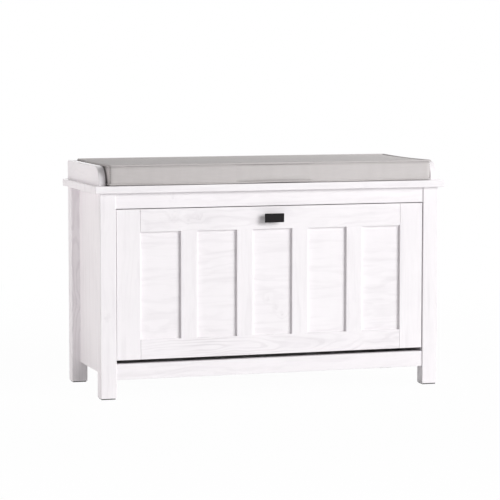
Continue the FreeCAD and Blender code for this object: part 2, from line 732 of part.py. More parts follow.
arm_screw = screw_kit("arm_screw")
arm_screw_spots = []
for hand in HANDS:
    for number in range(ARM_SCREWS_EACH):
        step = (f"(back_leg_front - front_leg_back - 2 * arm_screw_inset)"
                f" * {number} / {ARM_SCREWS_EACH - 1}")
        arm_screw_spots.append((across(hand, "leg_outer - arm_thickness / 2"),
                                f"front_leg_back + arm_screw_inset + {step}",
                                "underside_height", "+z"))
arm_screw_holes = fasten("arm_screws", arm_screw, arm_screw_spots)

board_blank = plank("top_board_blank",
                    ("-(leg_outer + board_side_overhang)", "board_front", "underside_height"),
                    ("2 * (leg_outer + board_side_overhang)",
                     "frame_depth + board_front_overhang", "board_thickness"),
                    "board_rounding", ("front", "back", "left", "right"))
drill("top_board", board_blank, [board_dowel_holes, arm_screw_holes])

for hand in HANDS:
    label = f"arm_{hand}"
    blank = new_body(f"{label}_blank")
    sketch = new_sketch(blank, "XY_Plane")
    arm_depth = "back - arm_front"
    draw_outline(sketch, [("0", "0"), ("arm_thickness", "0"), ("arm_thickness", arm_depth),
                          ("0", arm_depth)])
    arm_pad = pad(blank, sketch, "arm_height")
    put(blank, low_side(hand, "arm_inner", "arm_thickness"), "arm_front", "seat_top")
    nose = round_edges(blank, arm_pad, "min(arm_nose; arm_height - arm_rounding)",
                       ("front top",))
    round_edges(blank, nose, "arm_rounding",
                ("left top", "right top", "left front", "right front", "back top"))
    drill(label, blank, [arm_screw_holes])

upstand_blank = plank("back_upstand_blank", ("-arm_inner", "back - arm_thickness", "seat_top"),
                      ("2 * arm_inner", "arm_thickness", "arm_height"), "arm_rounding",
                      ("front top", "back top"))
drill("back_upstand", upstand_blank, [board_dowel_holes])


# Magnetic catch

catch_blank = new_body("catch_housing_blank")
catch_sketch = new_sketch(catch_blank, "YZ_Plane")
catch_step_level = "top_rail_bottom + catch_step"
catch_top = "top_rail_bottom + catch_rise"
draw_outline(catch_sketch, [
    ("catch_face", "catch_bottom"), ("catch_back", "catch_bottom"), ("catch_back", catch_top),
    ("rail_back", catch_top), ("rail_back", catch_step_level),
    ("catch_face", catch_step_level)])
pad(catch_blank, catch_sketch, "catch_width", both_ways=True)
magnet_low = "catch_bottom + magnet_rise"
magnet_space = plank("magnet_space",
                     ("-magnet_width / 2 - fit", "catch_face - hole_end",
                      f"{magnet_low} - fit"),
                     ("magnet_width + 2 * fit", "magnet_depth + hole_end + fit",
                      "magnet_height + 2 * fit"))
drill("catch_housing", catch_blank, [catch_screw_holes, magnet_space])
keep("catch_magnet", plank("catch_magnet",
                           ("-magnet_width / 2", "catch_face", magnet_low),
                           ("magnet_width", "magnet_depth", "magnet_height")))


# Flap: board, strips, knob and strike plate

cheek_dowel_y = "panel_back + (cheek_dowel_in_cheek - cheek_dowel_in_board) / 2"
cheek_dowel_spots = [
    (across(hand, "cheek_middle"), cheek_dowel_y,
     f"rack_bottom + cheek_dowel_rise + {number} * cheek_dowel_pitch", "+y")
    for hand in HANDS for number in range(CHEEK_DOWELS_EACH)]
cheek_dowel_holes = fasten("cheek_dowels", cheek_dowel, cheek_dowel_spots)

knob_screw_end = "panel_thickness + strip_thickness + knob_screw_bite"
knob_screw = (
    turned("knob_screw_model", [
        ("0", "-knob_screw_head_height"), ("knob_screw_head_radius", "-knob_screw_head_height"),
        ("knob_screw_head_radius", "0"), ("knob_screw_radius", "0"),
        ("knob_screw_radius", knob_screw_end), ("0", knob_screw_end)]),
    straight_hole("knob_screw_hole", "knob_screw_radius", "0", knob_screw_end),
)
knob_screw_holes = fasten("knob_screw", knob_screw, [("0", "panel_back", "knob_level", "-y")])

strike_screw = screw_kit("strike_screw")
strike_screw_spots = [
    (across(hand, "strike_screw_offset"), "strike_back", "catch_bottom + strike_height / 2",
     "-y")
    for hand in HANDS]
strike_screw_holes = fasten("strike_screws", strike_screw, strike_screw_spots)

panel_blank = plank("flap_panel_blank", ("-flap_edge", "panel_front", "flap_bottom"),
                    ("2 * flap_edge", "panel_thickness", "flap_top - flap_bottom"))
drill("flap_panel", panel_blank,
      [cheek_dowel_holes, knob_screw_holes, strike_screw_holes, *pivot_pin_holes])

for hand in HANDS:
    keep(f"flap_stile_{hand}",
         plank(f"flap_stile_{hand}",
               (low_side(hand, "stile_inner", "stile_width"), "rail_front", "flap_bottom"),
               ("stile_width", "strip_thickness", "flap_top - flap_bottom"), "flap_rounding",
               ("front",)))

FLAP_RAILS = {
    "flap_top_rail": ("field_top", "flap_top_rail_width", "front top"),
    "flap_bottom_rail": ("flap_bottom", "flap_bottom_rail_width", "front bottom"),
}
for label, (z_low, width, free_edge) in FLAP_RAILS.items():
    blank = plank(f"{label}_blank", ("-(stile_inner - stile_joint)", "rail_front", z_low),
                  ("2 * (stile_inner - stile_joint)", "strip_thickness", width),
                  "flap_rounding", (free_edge, "front left", "front right"))
    drill(label, blank, [knob_screw_holes])

for number in range(1, muntin_count + 1):
    left = f"-stile_inner + {number} * muntin_pitch - muntin_width"
    keep(f"muntin_{number}",
         plank(f"muntin_{number}", (left, "rail_front", "field_bottom"),
               ("muntin_width", "strip_thickness", "field_top - field_bottom"),
               "flap_rounding", ("front left", "front right")))

knob_blank = new_body("flap_knob_blank")
plate_sketch = new_sketch(knob_blank, "XZ_Plane")
plate_x, plate_z = "knob_length / 2", "knob_height / 2"
draw_outline(plate_sketch, [
    (f"-{plate_x}", f"-{plate_z}"), (plate_x, f"-{plate_z}"), (plate_x, plate_z),
    (f"-{plate_x}", plate_z)])
plate = pad(knob_blank, plate_sketch, "knob_plate_thickness", reverse=True)
round_edges(knob_blank, plate, "knob_rounding",
            ("front", "back", "left top", "left bottom", "right top", "right bottom"))
stem_sketch = new_sketch(knob_blank, "XZ_Plane")
draw_circle(stem_sketch, "0", "0", "knob_stem_radius")
pad(knob_blank, stem_sketch, "knob_stand", reverse=True)
put(knob_blank, "0", "rail_front - knob_stand", "knob_level")
drill("flap_knob", knob_blank, [knob_screw_holes])

strike_blank = plank("strike_plate_blank", ("-strike_width / 2", "panel_back", "catch_bottom"),
                     ("strike_width", "strike_thickness", "strike_height"))
drill("strike_plate", strike_blank, [strike_screw_holes])


# Shoe rack on the flap

rack_screw = screw_kit("rack_screw")
rack_screw_spots = []
for hand in HANDS:
    spots = [("panel_back + rack_screw_inset", "lower_tray_bottom + tray_thickness / 2"),
             ("rack_board_front - rack_screw_inset", "lower_tray_bottom + tray_thickness / 2"),
             ("panel_back + rack_screw_inset", "upper_tray_bottom + tray_thickness / 2"),
             ("rack_board_front - rack_screw_inset", "upper_tray_bottom + tray_thickness / 2"),
             ("rack_board_back - tray_thickness / 2",
              "lower_tray_bottom + tray_thickness + lower_board_height / 2"),
             ("rack_board_back - tray_thickness / 2",
              "upper_tray_bottom + tray_thickness + upper_board_height / 2")]
    for y, z in spots:
        rack_screw_spots.append((across(hand, "cheek_outer"), y, z, INWARD[hand]))
rack_screw_holes = fasten("rack_screws", rack_screw, rack_screw_spots)


def draw_stop_slot(sketch):
    """Draws the arc slot that runs about the pivot, at the sketch's origin, past the stop pin."""
    reach = value("slot_radius")
    half = value("stop_pin_radius") + value("stop_clearance")
    high = math.radians(value("stop_angle"))
    low = math.radians(value("stop_angle") - value("tilt_range"))
    up = FreeCAD.Vector(0, 0, 1)
    pivot = FreeCAD.Vector()

    def on_arc(angle):
        return FreeCAD.Vector(reach * math.cos(angle), reach * math.sin(angle), 0)

    sketch.addGeometry(Part.ArcOfCircle(Part.Circle(pivot, up, reach + half), low, high))
    sketch.addGeometry(Part.ArcOfCircle(Part.Circle(pivot, up, reach - half), low, high))
    high_end = Part.Circle(on_arc(high), up, half)
    low_end = Part.Circle(on_arc(low), up, half)
    sketch.addGeometry(Part.ArcOfCircle(high_end, high, high + math.pi))
    sketch.addGeometry(Part.ArcOfCircle(low_end, low + math.pi, low + 2 * math.pi))
    sketch.addGeometry(Part.LineSegment(pivot, on_arc(high)), True)
    sketch.addGeometry(Part.LineSegment(pivot, on_arc(low)), True)
    outer, inner, high_cap, low_cap, high_ray, low_ray = range(6)
    start, end, centre = 1, 2, 3
    for arc in (outer, inner):
        sketch.addConstraint(Sketcher.Constraint("Coincident", arc, centre, -1, 1))
    for ray, cap in ((high_ray, high_cap), (low_ray, low_cap)):
        sketch.addConstraint(Sketcher.Constraint("Coincident", ray, start, -1, 1))
        sketch.addConstraint(Sketcher.Constraint("Coincident", ray, end, cap, centre))
    for one, one_end, other, other_end in (
            (outer, end, high_cap, start), (high_cap, end, inner, end),
            (inner, start, low_cap, start), (low_cap, end, outer, start)):
        sketch.addConstraint(Sketcher.Constraint("Tangent", one, one_end, other, other_end))
    wide = "(stop_pin_radius + stop_clearance)"
    tie(sketch, "Radius", outer, text=f"slot_radius + {wide}", start=reach + half)
    tie(sketch, "Radius", inner, text=f"slot_radius - {wide}", start=reach - half)
    tie(sketch, "Angle", high_ray, text="stop_angle", start=high)
    tie(sketch, "Angle", low_ray, text="stop_angle - tilt_range", start=low)


for hand in HANDS:
    label = f"rack_cheek_{hand}"
    blank = new_body(f"{label}_blank")
    sketch = new_sketch(blank, "YZ_Plane")
    front_y = "panel_back - pivot_y"
    back_y = "rack_back - pivot_y"
    low_z = "rack_bottom - pivot_level"
    draw_outline(sketch, [
        (front_y, low_z), (back_y, low_z), (back_y, f"{low_z} + cheek_back_height"),
        (front_y, f"{low_z} + cheek_front_height")])
    cheek = pad(blank, sketch, "cheek_thickness")
    round_edges(blank, cheek, "cheek_corner", ("back x",))
    doc.recompute()
    whole = blank.Shape.Volume
    slot_sketch = new_sketch(blank, "YZ_Plane")
    draw_stop_slot(slot_sketch)
    slot = blank.newObject("PartDesign::Pocket", f"{label}_slot")
    slot.Profile = slot_sketch
    slot.Type = "ThroughAll"
    slot.Midplane = True
    put(blank, low_side(hand, "cheek_inner", "cheek_thickness"), "pivot_y", "pivot_level")
    doc.recompute()
    if blank.Shape.Volume >= whole:
        raise RuntimeError(f"{label}: the stop slot cuts nothing")
    drill(label, blank, [rack_screw_holes, cheek_dowel_holes])

RACK_BOARDS = {
    "rack_tray_lower": ("panel_back", "lower_tray_bottom", "rack_board_back - panel_back",
                        "tray_thickness"),
    "rack_tray_upper": ("panel_back", "upper_tray_bottom", "rack_board_back - panel_back",
                        "tray_thickness"),
    "rack_back_lower": ("rack_board_front", "lower_tray_bottom + tray_thickness",
                        "tray_thickness", "lower_board_height"),
    "rack_back_upper": ("rack_board_front", "upper_tray_bottom + tray_thickness",
                        "tray_thickness", "upper_board_height"),
}
for label, (y_low, z_low, depth, height) in RACK_BOARDS.items():
    blank = plank(f"{label}_blank", ("-cheek_inner", y_low, z_low),
                  ("2 * cheek_inner", depth, height))
    drill(label, blank, [rack_screw_holes])


# Seat cushion

def cushion_shape():
    """Sections with bulged sides, rounded shoulders and a flat top, joined straight along X."""
    half = value("arm_inner") - value("cushion_side_gap")
    low_y = value("board_front")
    high_y = value("back") - value("arm_thickness") - value("cushion_back_gap")
    base = value("seat_top") + value("cushion_lift")
    corner = value("cushion_corner")
    bulge = value("cushion_bulge")
    shoulder = value("cushion_shoulder")
    rim = base + value("cushion_rim")
    middle = (base + rim) / 2
    low_crown = rim + value("cushion_end_crown")
    high_crown = rim + value("cushion_crown")

    def section(x):
        along = abs(x) / half
        from_end = half - abs(x)
        inset = value("cushion_pull") * (1 - along ** 2)
        if from_end < corner:
            inset += corner - math.sqrt(corner ** 2 - (corner - from_end) ** 2)
        crown = high_crown + (low_crown - high_crown) * along ** 4
        front, back = low_y + inset, high_y - inset

        # The shoulder's arc starts at the wall's top and ends level with the flat
        radius = (shoulder ** 2 + (crown - rim) ** 2) / (2 * (crown - rim))
        half_turn = math.asin(shoulder / radius) / 2
        halfway = bulge + shoulder - radius * math.sin(half_turn)
        halfway_up = crown - radius * (1 - math.cos(half_turn))
        at = [FreeCAD.Vector(x, y, z) for y, z in (
            (front + bulge, base), (back - bulge, base), (back, middle), (back - bulge, rim),
            (back - halfway, halfway_up), (back - bulge - shoulder, crown),
            (front + bulge + shoulder, crown), (front + halfway, halfway_up),
            (front + bulge, rim), (front, middle))]
        return Part.Wire([
            Part.LineSegment(at[0], at[1]).toShape(), Part.Arc(at[1], at[2], at[3]).toShape(),
            Part.Arc(at[3], at[4], at[5]).toShape(), Part.LineSegment(at[5], at[6]).toShape(),
            Part.Arc(at[6], at[7], at[8]).toShape(), Part.Arc(at[8], at[9], at[0]).toShape()])

    # Sections crowd towards the rounded ends, each twice as far in as the one before
    spans = [corner * 2 ** k for k in range(-3, math.ceil(math.log2(half / corner)))]
    rights = [half - span for span in reversed(spans)] + [half]
    stations = [-x for x in reversed(rights)] + [0] + rights
    return Part.makeLoft([section(x) for x in stations], True, True)


doc.recompute()
cushion = doc.addObject("Part::Feature", "cushion")
cushion.Shape = cushion_shape()
cushion.Placement = FreeCAD.Placement()
keep("cushion", cushion)


# Check and write every sub-part

doc.recompute()
failed = [thing.Label for thing in doc.Objects if {"Invalid", "Error"} & set(thing.State)]
failed += [node.Label for node in nodes if node.Shape.isNull() or not node.Shape.isValid()]
if failed:
    raise RuntimeError("failed: " + ", ".join(failed))
os.makedirs("parts", exist_ok=True)
for node in nodes:
    node.Shape.exportStep(f"parts/{node.Label}.step")
print(len(nodes), "sub-parts written")
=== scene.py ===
import math

import bmesh
import bpy
from mathutils import Euler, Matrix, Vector
from mathutils.bvhtree import BVHTree
from mathutils.kdtree import KDTree


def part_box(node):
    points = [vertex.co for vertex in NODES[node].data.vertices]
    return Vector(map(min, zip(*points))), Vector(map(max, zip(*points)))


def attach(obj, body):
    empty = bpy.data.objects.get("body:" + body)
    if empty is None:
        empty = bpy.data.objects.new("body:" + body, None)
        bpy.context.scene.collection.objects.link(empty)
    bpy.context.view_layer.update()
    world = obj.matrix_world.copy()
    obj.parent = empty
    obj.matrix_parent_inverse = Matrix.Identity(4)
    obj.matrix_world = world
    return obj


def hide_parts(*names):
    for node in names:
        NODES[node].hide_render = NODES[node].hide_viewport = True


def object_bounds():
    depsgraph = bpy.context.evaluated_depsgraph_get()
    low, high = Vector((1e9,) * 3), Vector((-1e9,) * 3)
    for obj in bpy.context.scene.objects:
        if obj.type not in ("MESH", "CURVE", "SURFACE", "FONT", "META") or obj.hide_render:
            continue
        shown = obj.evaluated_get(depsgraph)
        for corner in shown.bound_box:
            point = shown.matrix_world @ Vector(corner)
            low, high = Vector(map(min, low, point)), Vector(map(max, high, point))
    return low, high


# Shoe storage bench: white wood with a faint grain, a black knob on a tip-out flap,
# and a loose grey seat cushion. Lengths are in metres, and waves are counted in a
# metre. +X is the bench's right, +Y its back and +Z up.

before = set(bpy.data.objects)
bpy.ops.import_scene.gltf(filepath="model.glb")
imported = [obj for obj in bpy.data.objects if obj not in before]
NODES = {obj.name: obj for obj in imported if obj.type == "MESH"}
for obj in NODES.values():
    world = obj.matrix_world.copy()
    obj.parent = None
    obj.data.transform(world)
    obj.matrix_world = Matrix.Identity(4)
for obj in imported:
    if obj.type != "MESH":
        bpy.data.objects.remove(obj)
cad_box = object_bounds()


# Building node trees

def add(tree, kind, inputs=None, **settings):
    """A new node. Its inputs, by name or number, are numbers or other nodes' outputs."""
    node = tree.nodes.new(kind)
    for name, setting in settings.items():
        setattr(node, name, setting)
    for name, value in (inputs or {}).items():
        if isinstance(value, bpy.types.NodeSocket):
            tree.links.new(value, node.inputs[name])
        else:
            node.inputs[name].default_value = value
    return node


def calc(tree, operation, *values, **settings):
    """The result of a Math node."""
    inputs = dict(enumerate(values))
    return add(tree, "ShaderNodeMath", inputs, operation=operation, **settings).outputs[0]


def vector_calc(tree, operation, *values):
    """The vector result of a Vector Math node."""
    inputs = dict(enumerate(values))
    return add(tree, "ShaderNodeVectorMath", inputs, operation=operation).outputs[0]


def vector_length(tree, vector):
    """How long a vector is."""
    node = add(tree, "ShaderNodeVectorMath", {0: vector}, operation="LENGTH")
    return node.outputs["Value"]


def noise(tree, vector, scale, detail=2.0, roughness=0.5):
    """Smooth noise from 0 to 1 with so many waves in a metre."""
    inputs = {"Vector": vector, "Scale": scale, "Detail": detail, "Roughness": roughness}
    return add(tree, "ShaderNodeTexNoise", inputs).outputs["Fac"]


def ramp(tree, value, low, high, to_low=0.0, to_high=1.0):
    """A value spread smoothly from one range to another, and held at its ends."""
    inputs = {"Value": value, "From Min": low, "From Max": high,
              "To Min": to_low, "To Max": to_high}
    node = add(tree, "ShaderNodeMapRange", inputs, interpolation_type="SMOOTHSTEP")
    return node.outputs["Result"]


def blend_colours(tree, factor, first, second):
    """A mix of two colours, which are a Mix node's inputs 6 and 7."""
    inputs = {"Factor": factor, 6: first, 7: second}
    return add(tree, "ShaderNodeMix", inputs, data_type="RGBA").outputs[2]


def blend_values(tree, factor, first, second):
    """A mix of two numbers, which are a Mix node's inputs 2 and 3."""
    return add(tree, "ShaderNodeMix", {"Factor": factor, 2: first, 3: second}).outputs[0]


def stretch(tree, vector, scale, location=(0, 0, 0), rotation=(0, 0, 0)):
    """Coordinates scaled, turned and moved, in this order."""
    inputs = {"Vector": vector, "Scale": scale, "Location": location, "Rotation": rotation}
    return add(tree, "ShaderNodeMapping", inputs).outputs[0]


def bump(tree, height, depth, strength=1.0):
    """A surface normal from a height of 0 to 1 that is so many metres deep."""
    inputs = {"Height": height, "Distance": depth, "Strength": strength}
    return add(tree, "ShaderNodeBump", inputs).outputs[0]


def new_material(name, **sockets):
    """A material, its tree and its shader, with the shader's constant sockets set."""
    material = bpy.data.materials.new(name)
    material.use_nodes = True
    tree = material.node_tree
    shader = tree.nodes["Principled BSDF"]
    for socket, value in sockets.items():
        shader.inputs[socket.replace("_", " ")].default_value = value
    place = add(tree, "ShaderNodeTexCoord").outputs["Object"]
    return material, tree, shader, place


def connect(tree, shader, **outputs):
    """Joins nodes' outputs to the shader's sockets of these names."""
    for socket, output in outputs.items():
        tree.links.new(output, shader.inputs[socket.replace("_", " ")])


# Which part of a noise turns one tone into another
TONES_MEET = (0.3, 0.7)


# White wood

WHITE_PAINT = (0.905, 0.876, 0.897, 1)
GRAIN_GREY = (0.62, 0.585, 0.61, 1)

WANDER_WAVES = 8
RING_DRIFT_WAVES = 16
RING_PATCH_WAVES = 14
STREAK_WAVES = 60
FIBRE_WAVES = 420
CLOUD_WAVES = 9
# A pattern's waves along the grain, as a share of its waves across it
SLOW_DRIFT = 0.3
STREAK_SLENDERNESS = 0.07
FIBRE_SLENDERNESS = 0.03
# Which part of a noise or wave shows, and how strongly at its two ends
LATE_WOOD = (-0.2, 1.0)
RING_PATCHES = (0.38, 0.66, 0.1, 1.0)
STREAKS = (0.5, 0.72)
FIBRES = (0.48, 0.75)
CLOUDS = (0.35, 0.65)
BLOTCHES = (0.42, 0.68, 0.0, 0.8)
# How far the grain strays from a straight line, and how unevenly it grew, in rings
GRAIN_WANDER = 0.03
RING_DRIFT = 6.0
# The share of grain grey that each pattern adds to the paint
STREAK_DARKNESS = 0.15
FIBRE_DARKNESS = 0.07
KNOT_DARKNESS = 0.25
CLOUD_DARKNESS = 0.06
# The paint's roughness from smooth to fibrous places, and the grain's relief in it
PAINT_ROUGHNESS = (0.46, 0.60)
GRAIN_RELIEF = 4.0
GRAIN_DEPTH = 0.00012

KNOT_EDGE_WAVES = 150
BLOTCH_WAVES = 70
# Where a knot's spot, its halo and its push on the rings fade out, in knot radii
KNOT_SPOT = (0.5, 1.7)
KNOT_HALO = (1.2, 4.5)
KNOT_REACH = (0.0, 6.0)
# How many rings a knot pushes aside
KNOT_PUSH = 1.2


def wood_figure_group():
    """Growth rings, streaks and fibres of a board whose heart runs along Z through
    the origin."""
    group = bpy.data.node_groups.new("wood_figure", "ShaderNodeTree")
    for name, way, kind in (("Place", "INPUT", "NodeSocketVector"),
                            ("Ring Spacing", "INPUT", "NodeSocketFloat"),
                            ("Knot", "INPUT", "NodeSocketFloat"),
                            ("Rings", "OUTPUT", "NodeSocketFloat"),
                            ("Streaks", "OUTPUT", "NodeSocketFloat"),
                            ("Fibres", "OUTPUT", "NodeSocketFloat")):
        group.interface.new_socket(name, in_out=way, socket_type=kind)
    place = add(group, "NodeGroupInput")
    out = add(group, "NodeGroupOutput")

    slow = stretch(group, place.outputs["Place"], (1, 1, SLOW_DRIFT))
    wander = add(group, "ShaderNodeTexNoise",
                 {"Vector": slow, "Scale": WANDER_WAVES, "Detail": 4})
    centred = vector_calc(group, "SUBTRACT", wander.outputs["Color"], (0.5, 0.5, 0.5))
    offset = add(group, "ShaderNodeVectorMath", {0: centred, "Scale": GRAIN_WANDER},
                 operation="SCALE").outputs[0]
    wandered = vector_calc(group, "ADD", place.outputs["Place"], offset)

    radius = vector_length(group, vector_calc(group, "MULTIPLY", wandered, (1, 1, 0)))
    rings = calc(group, "DIVIDE", radius, place.outputs["Ring Spacing"])
    uneven = calc(group, "MULTIPLY", noise(group, slow, RING_DRIFT_WAVES, 3), RING_DRIFT)
    turns = calc(group, "ADD", calc(group, "ADD", rings, uneven), place.outputs["Knot"])
    wave = calc(group, "SINE", calc(group, "MULTIPLY", turns, 2 * math.pi))
    late_wood = ramp(group, wave, *LATE_WOOD)
    patches = ramp(group, noise(group, slow, RING_PATCH_WAVES, 2), *RING_PATCHES)
    group.links.new(calc(group, "MULTIPLY", late_wood, patches), out.inputs["Rings"])

    long_cells = stretch(group, wandered, (1, 1, STREAK_SLENDERNESS))
    streaks = ramp(group, noise(group, long_cells, STREAK_WAVES, 2, 0.5), *STREAKS)
    group.links.new(streaks, out.inputs["Streaks"])

    thin_cells = stretch(group, wandered, (1, 1, FIBRE_SLENDERNESS))
    fibres = ramp(group, noise(group, thin_cells, FIBRE_WAVES, 3, 0.6), *FIBRES)
    group.links.new(fibres, out.inputs["Fibres"])
    return group


WOOD_FIGURE = wood_figure_group()
TURN_TO_GRAIN = {
    "x": (0, -math.pi / 2, 0),
    "y": (math.pi / 2, 0, 0),
    "z": (0, 0, 0),
}


def knot_effect(tree, place, knots):
    """How dark the knots and the blotches round them are, and how many rings they push
    aside."""
    dark = push = None
    ragged = noise(tree, place, KNOT_EDGE_WAVES, 3, 0.6)
    blotches = ramp(tree, noise(tree, place, BLOTCH_WAVES, 3, 0.6), *BLOTCHES)
    for centre, radius in knots:
        far = vector_length(tree, vector_calc(tree, "SUBTRACT", place, centre))
        near = calc(tree, "ADD", calc(tree, "DIVIDE", far, radius), ragged)
        spot = ramp(tree, near, *KNOT_SPOT, 1.0, 0.0)
        halo = calc(tree, "MULTIPLY", ramp(tree, near, *KNOT_HALO, 1.0, 0.0), blotches)
        swell = ramp(tree, near, *KNOT_REACH, KNOT_PUSH, 0.0)
        spot = calc(tree, "MAXIMUM", spot, halo)
        dark = spot if dark is None else calc(tree, "MAXIMUM", dark, spot)
        push = swell if push is None else calc(tree, "ADD", push, swell)
    return dark, push


def white_wood(name, along, heart, tilt, shift, spacing, rings, knots=()):
    """Painted wood whose grain runs along an axis. Its heart is a line through a point,
    leaning a little across the grain, which is what makes arches and eyes in the
    figure."""
    material, tree, shader, place = new_material(name, Specular_IOR_Level=0.35)
    turn, lean = Euler(TURN_TO_GRAIN[along]), Euler((tilt[0], tilt[1], 0))
    origin = lean.to_matrix() @ (turn.to_matrix() @ Vector(heart))
    turned = stretch(tree, place, (1, 1, 1), rotation=turn)
    moved = stretch(tree, turned, (1, 1, 1), rotation=lean,
                    location=(-origin.x, -origin.y, shift - origin.z))
    inputs = {"Place": moved, "Ring Spacing": spacing}
    if knots:
        dark, inputs["Knot"] = knot_effect(tree, place, knots)
    figure = add(tree, "ShaderNodeGroup", inputs, node_tree=WOOD_FIGURE)
    streaks = calc(tree, "MULTIPLY", figure.outputs["Streaks"], STREAK_DARKNESS)
    fibres = calc(tree, "MULTIPLY", figure.outputs["Fibres"], FIBRE_DARKNESS)
    grain = calc(tree, "MULTIPLY", figure.outputs["Rings"], rings)
    grain = calc(tree, "ADD", calc(tree, "ADD", grain, streaks), fibres)
    if knots:
        grain = calc(tree, "ADD", grain, calc(tree, "MULTIPLY", dark, KNOT_DARKNESS))
    cloud = ramp(tree, noise(tree, place, CLOUD_WAVES, 2), *CLOUDS, 0.0, CLOUD_DARKNESS)
    colour = blend_colours(tree, calc(tree, "ADD", grain, cloud, use_clamp=True),
                           WHITE_PAINT, GRAIN_GREY)
    relief = calc(tree, "SUBTRACT", 1.0, calc(tree, "MULTIPLY", grain, GRAIN_RELIEF))
    connect(tree, shader, Base_Color=colour,
            Roughness=ramp(tree, figure.outputs["Fibres"], 0, 1, *PAINT_ROUGHNESS),
            Normal=bump(tree, relief, GRAIN_DEPTH, 0.4))
    return material


def dress(node, material):
    """Gives a CAD node its material."""
    slots = NODES[node].data.materials
    slots.clear()
    slots.append(material)


UPRIGHT_WOOD = ("front_leg_left", "front_leg_right", "back_leg_left", "back_leg_right",
                "side_panel_left", "side_panel_right", "flap_stile_left",
                "flap_stile_right", "muntin_1", "muntin_2", "muntin_3", "muntin_4")
CROSS_WOOD = ("top_board", "front_top_rail", "front_bottom_rail", "back_top_rail",
              "back_bottom_rail", "back_upstand", "flap_top_rail", "flap_bottom_rail",
              "flap_panel")
DEEP_WOOD = ("arm_left", "arm_right")
# Each knot's place and its radius
KNOTS = {
    "front_leg_left": (((-0.433, -0.165, 0.206), 0.005),),
    "back_leg_left": (((-0.440, 0.134, 0.206), 0.008),),
    "front_top_rail": (((-0.262, -0.162, 0.500), 0.005),),
    "flap_top_rail": (((-0.258, -0.162, 0.452), 0.007), ((-0.222, -0.162, 0.444), 0.005),
                      ((-0.196, -0.162, 0.449), 0.004)),
    "flap_panel": (((0.012, -0.155, 0.212), 0.005), ((0.028, -0.155, 0.196), 0.004),
                   ((-0.008, -0.155, 0.236), 0.004)),
    "muntin_4": (((0.149, -0.162, 0.352), 0.005),),
}
# Where the heart lies from a piece's middle, how it leans, its rings' spacing and how
# much grain grey they add
CUTS = {
    "flap_bottom_rail": ((-0.235, -0.004, -0.002), (0.075, 0.03), 0.0065, 0.36),
    "flap_top_rail": ((-0.22, 0.030, -0.010), (0.03, 0.04), 0.0125, 0.16),
    "flap_panel": ((0.05, 0.110, -0.10), (0.03, 0.02), 0.0150, 0.13),
    "front_top_rail": ((0.10, 0.045, -0.05), (0.03, 0.02), 0.0130, 0.12),
    "front_bottom_rail": ((-0.20, 0.035, 0.03), (0.02, 0.03), 0.0110, 0.12),
    "muntin_1": ((0.0, 0.03, 0.10), (0.05, 0.04), 0.007, 0.10),
    "muntin_4": ((0.0, 0.012, 0.02), (0.06, 0.05), 0.006, 0.16),
    "side_panel_left": ((0.03, -0.04, -0.1), (0.02, 0.03), 0.009, 0.12),
    "back_leg_left": ((0.012, 0.015, -0.02), (0.08, 0.05), 0.007, 0.25),
}
PLAIN_CUT = ((0.05, 0.06, 0.05), (0.03, 0.02), 0.0085, 0.07)
# From one piece to the next of its kind, how far on the grain is cut
NEXT_CUT = 0.61


def dress_white_wood():
    """Gives each wooden piece its own cut of the grain."""
    for along, members in (("z", UPRIGHT_WOOD), ("x", CROSS_WOOD), ("y", DEEP_WOOD)):
        for number, node in enumerate(members):
            low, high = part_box(node)
            offset, lean, spacing, rings = CUTS.get(node, PLAIN_CUT)
            heart = (low + high) / 2 + Vector(offset)
            material = white_wood(f"white_wood_{node}", along, heart, lean,
                                  NEXT_CUT * number, spacing, rings, KNOTS.get(node, ()))
            dress(node, material)


dress_white_wood()


# Cushion fabric

FABRIC_GREY = (0.66, 0.628, 0.625, 1)
FABRIC_SHADE = (0.49, 0.462, 0.458, 1)
# Painted shade: the colour towards which the seams, the fold under the upper piping and the
# piping are darkened
SEAM_SHADE = (0.20, 0.185, 0.18, 1)
SEWING_DARK = (0.07, 0.065, 0.062, 1)
SEWING_LIGHT = (0.13, 0.12, 0.115, 1)
THREAD_PITCH = 0.0013
THREAD_DEPTH = 0.0003
SLUB_WAVES = 260
SLUB_SLENDERNESS = 0.12
WEAR_WAVES = 45
WEAR_SLENDERNESS = 0.4
TWIST_WAVES = 1500
# The share of fabric grey that each pattern adds to the shade
WEAVE_LIGHT = 0.45
SLUB_LIGHT = 0.3
WEAR_LIGHT = 0.3
# Painted light: how far from the middle the fabric is painted darker towards its left end
# and lighter towards its right, and how much by then
PAINTED_LIGHT_REACH = 0.42
PAINTED_LIGHT_SHARE = 0.22
# Where the weave of one side gives way to the next side's, by the way a face turns
SIDE_CHANGE = (0.6, 0.8)


def weave_height(tree, across, along):
    """A plain weave's height: each thread goes over one and under the next."""
    turn = math.pi / THREAD_PITCH
    first = calc(tree, "SINE", calc(tree, "MULTIPLY", across, turn))
    second = calc(tree, "SINE", calc(tree, "MULTIPLY", along, turn))
    crossing = calc(tree, "MULTIPLY", first, second)
    warp = calc(tree, "ADD", calc(tree, "ABSOLUTE", first), crossing)
    weft = calc(tree, "SUBTRACT", calc(tree, "ABSOLUTE", second), crossing)
    return calc(tree, "MULTIPLY", calc(tree, "MAXIMUM", warp, weft), 0.5)


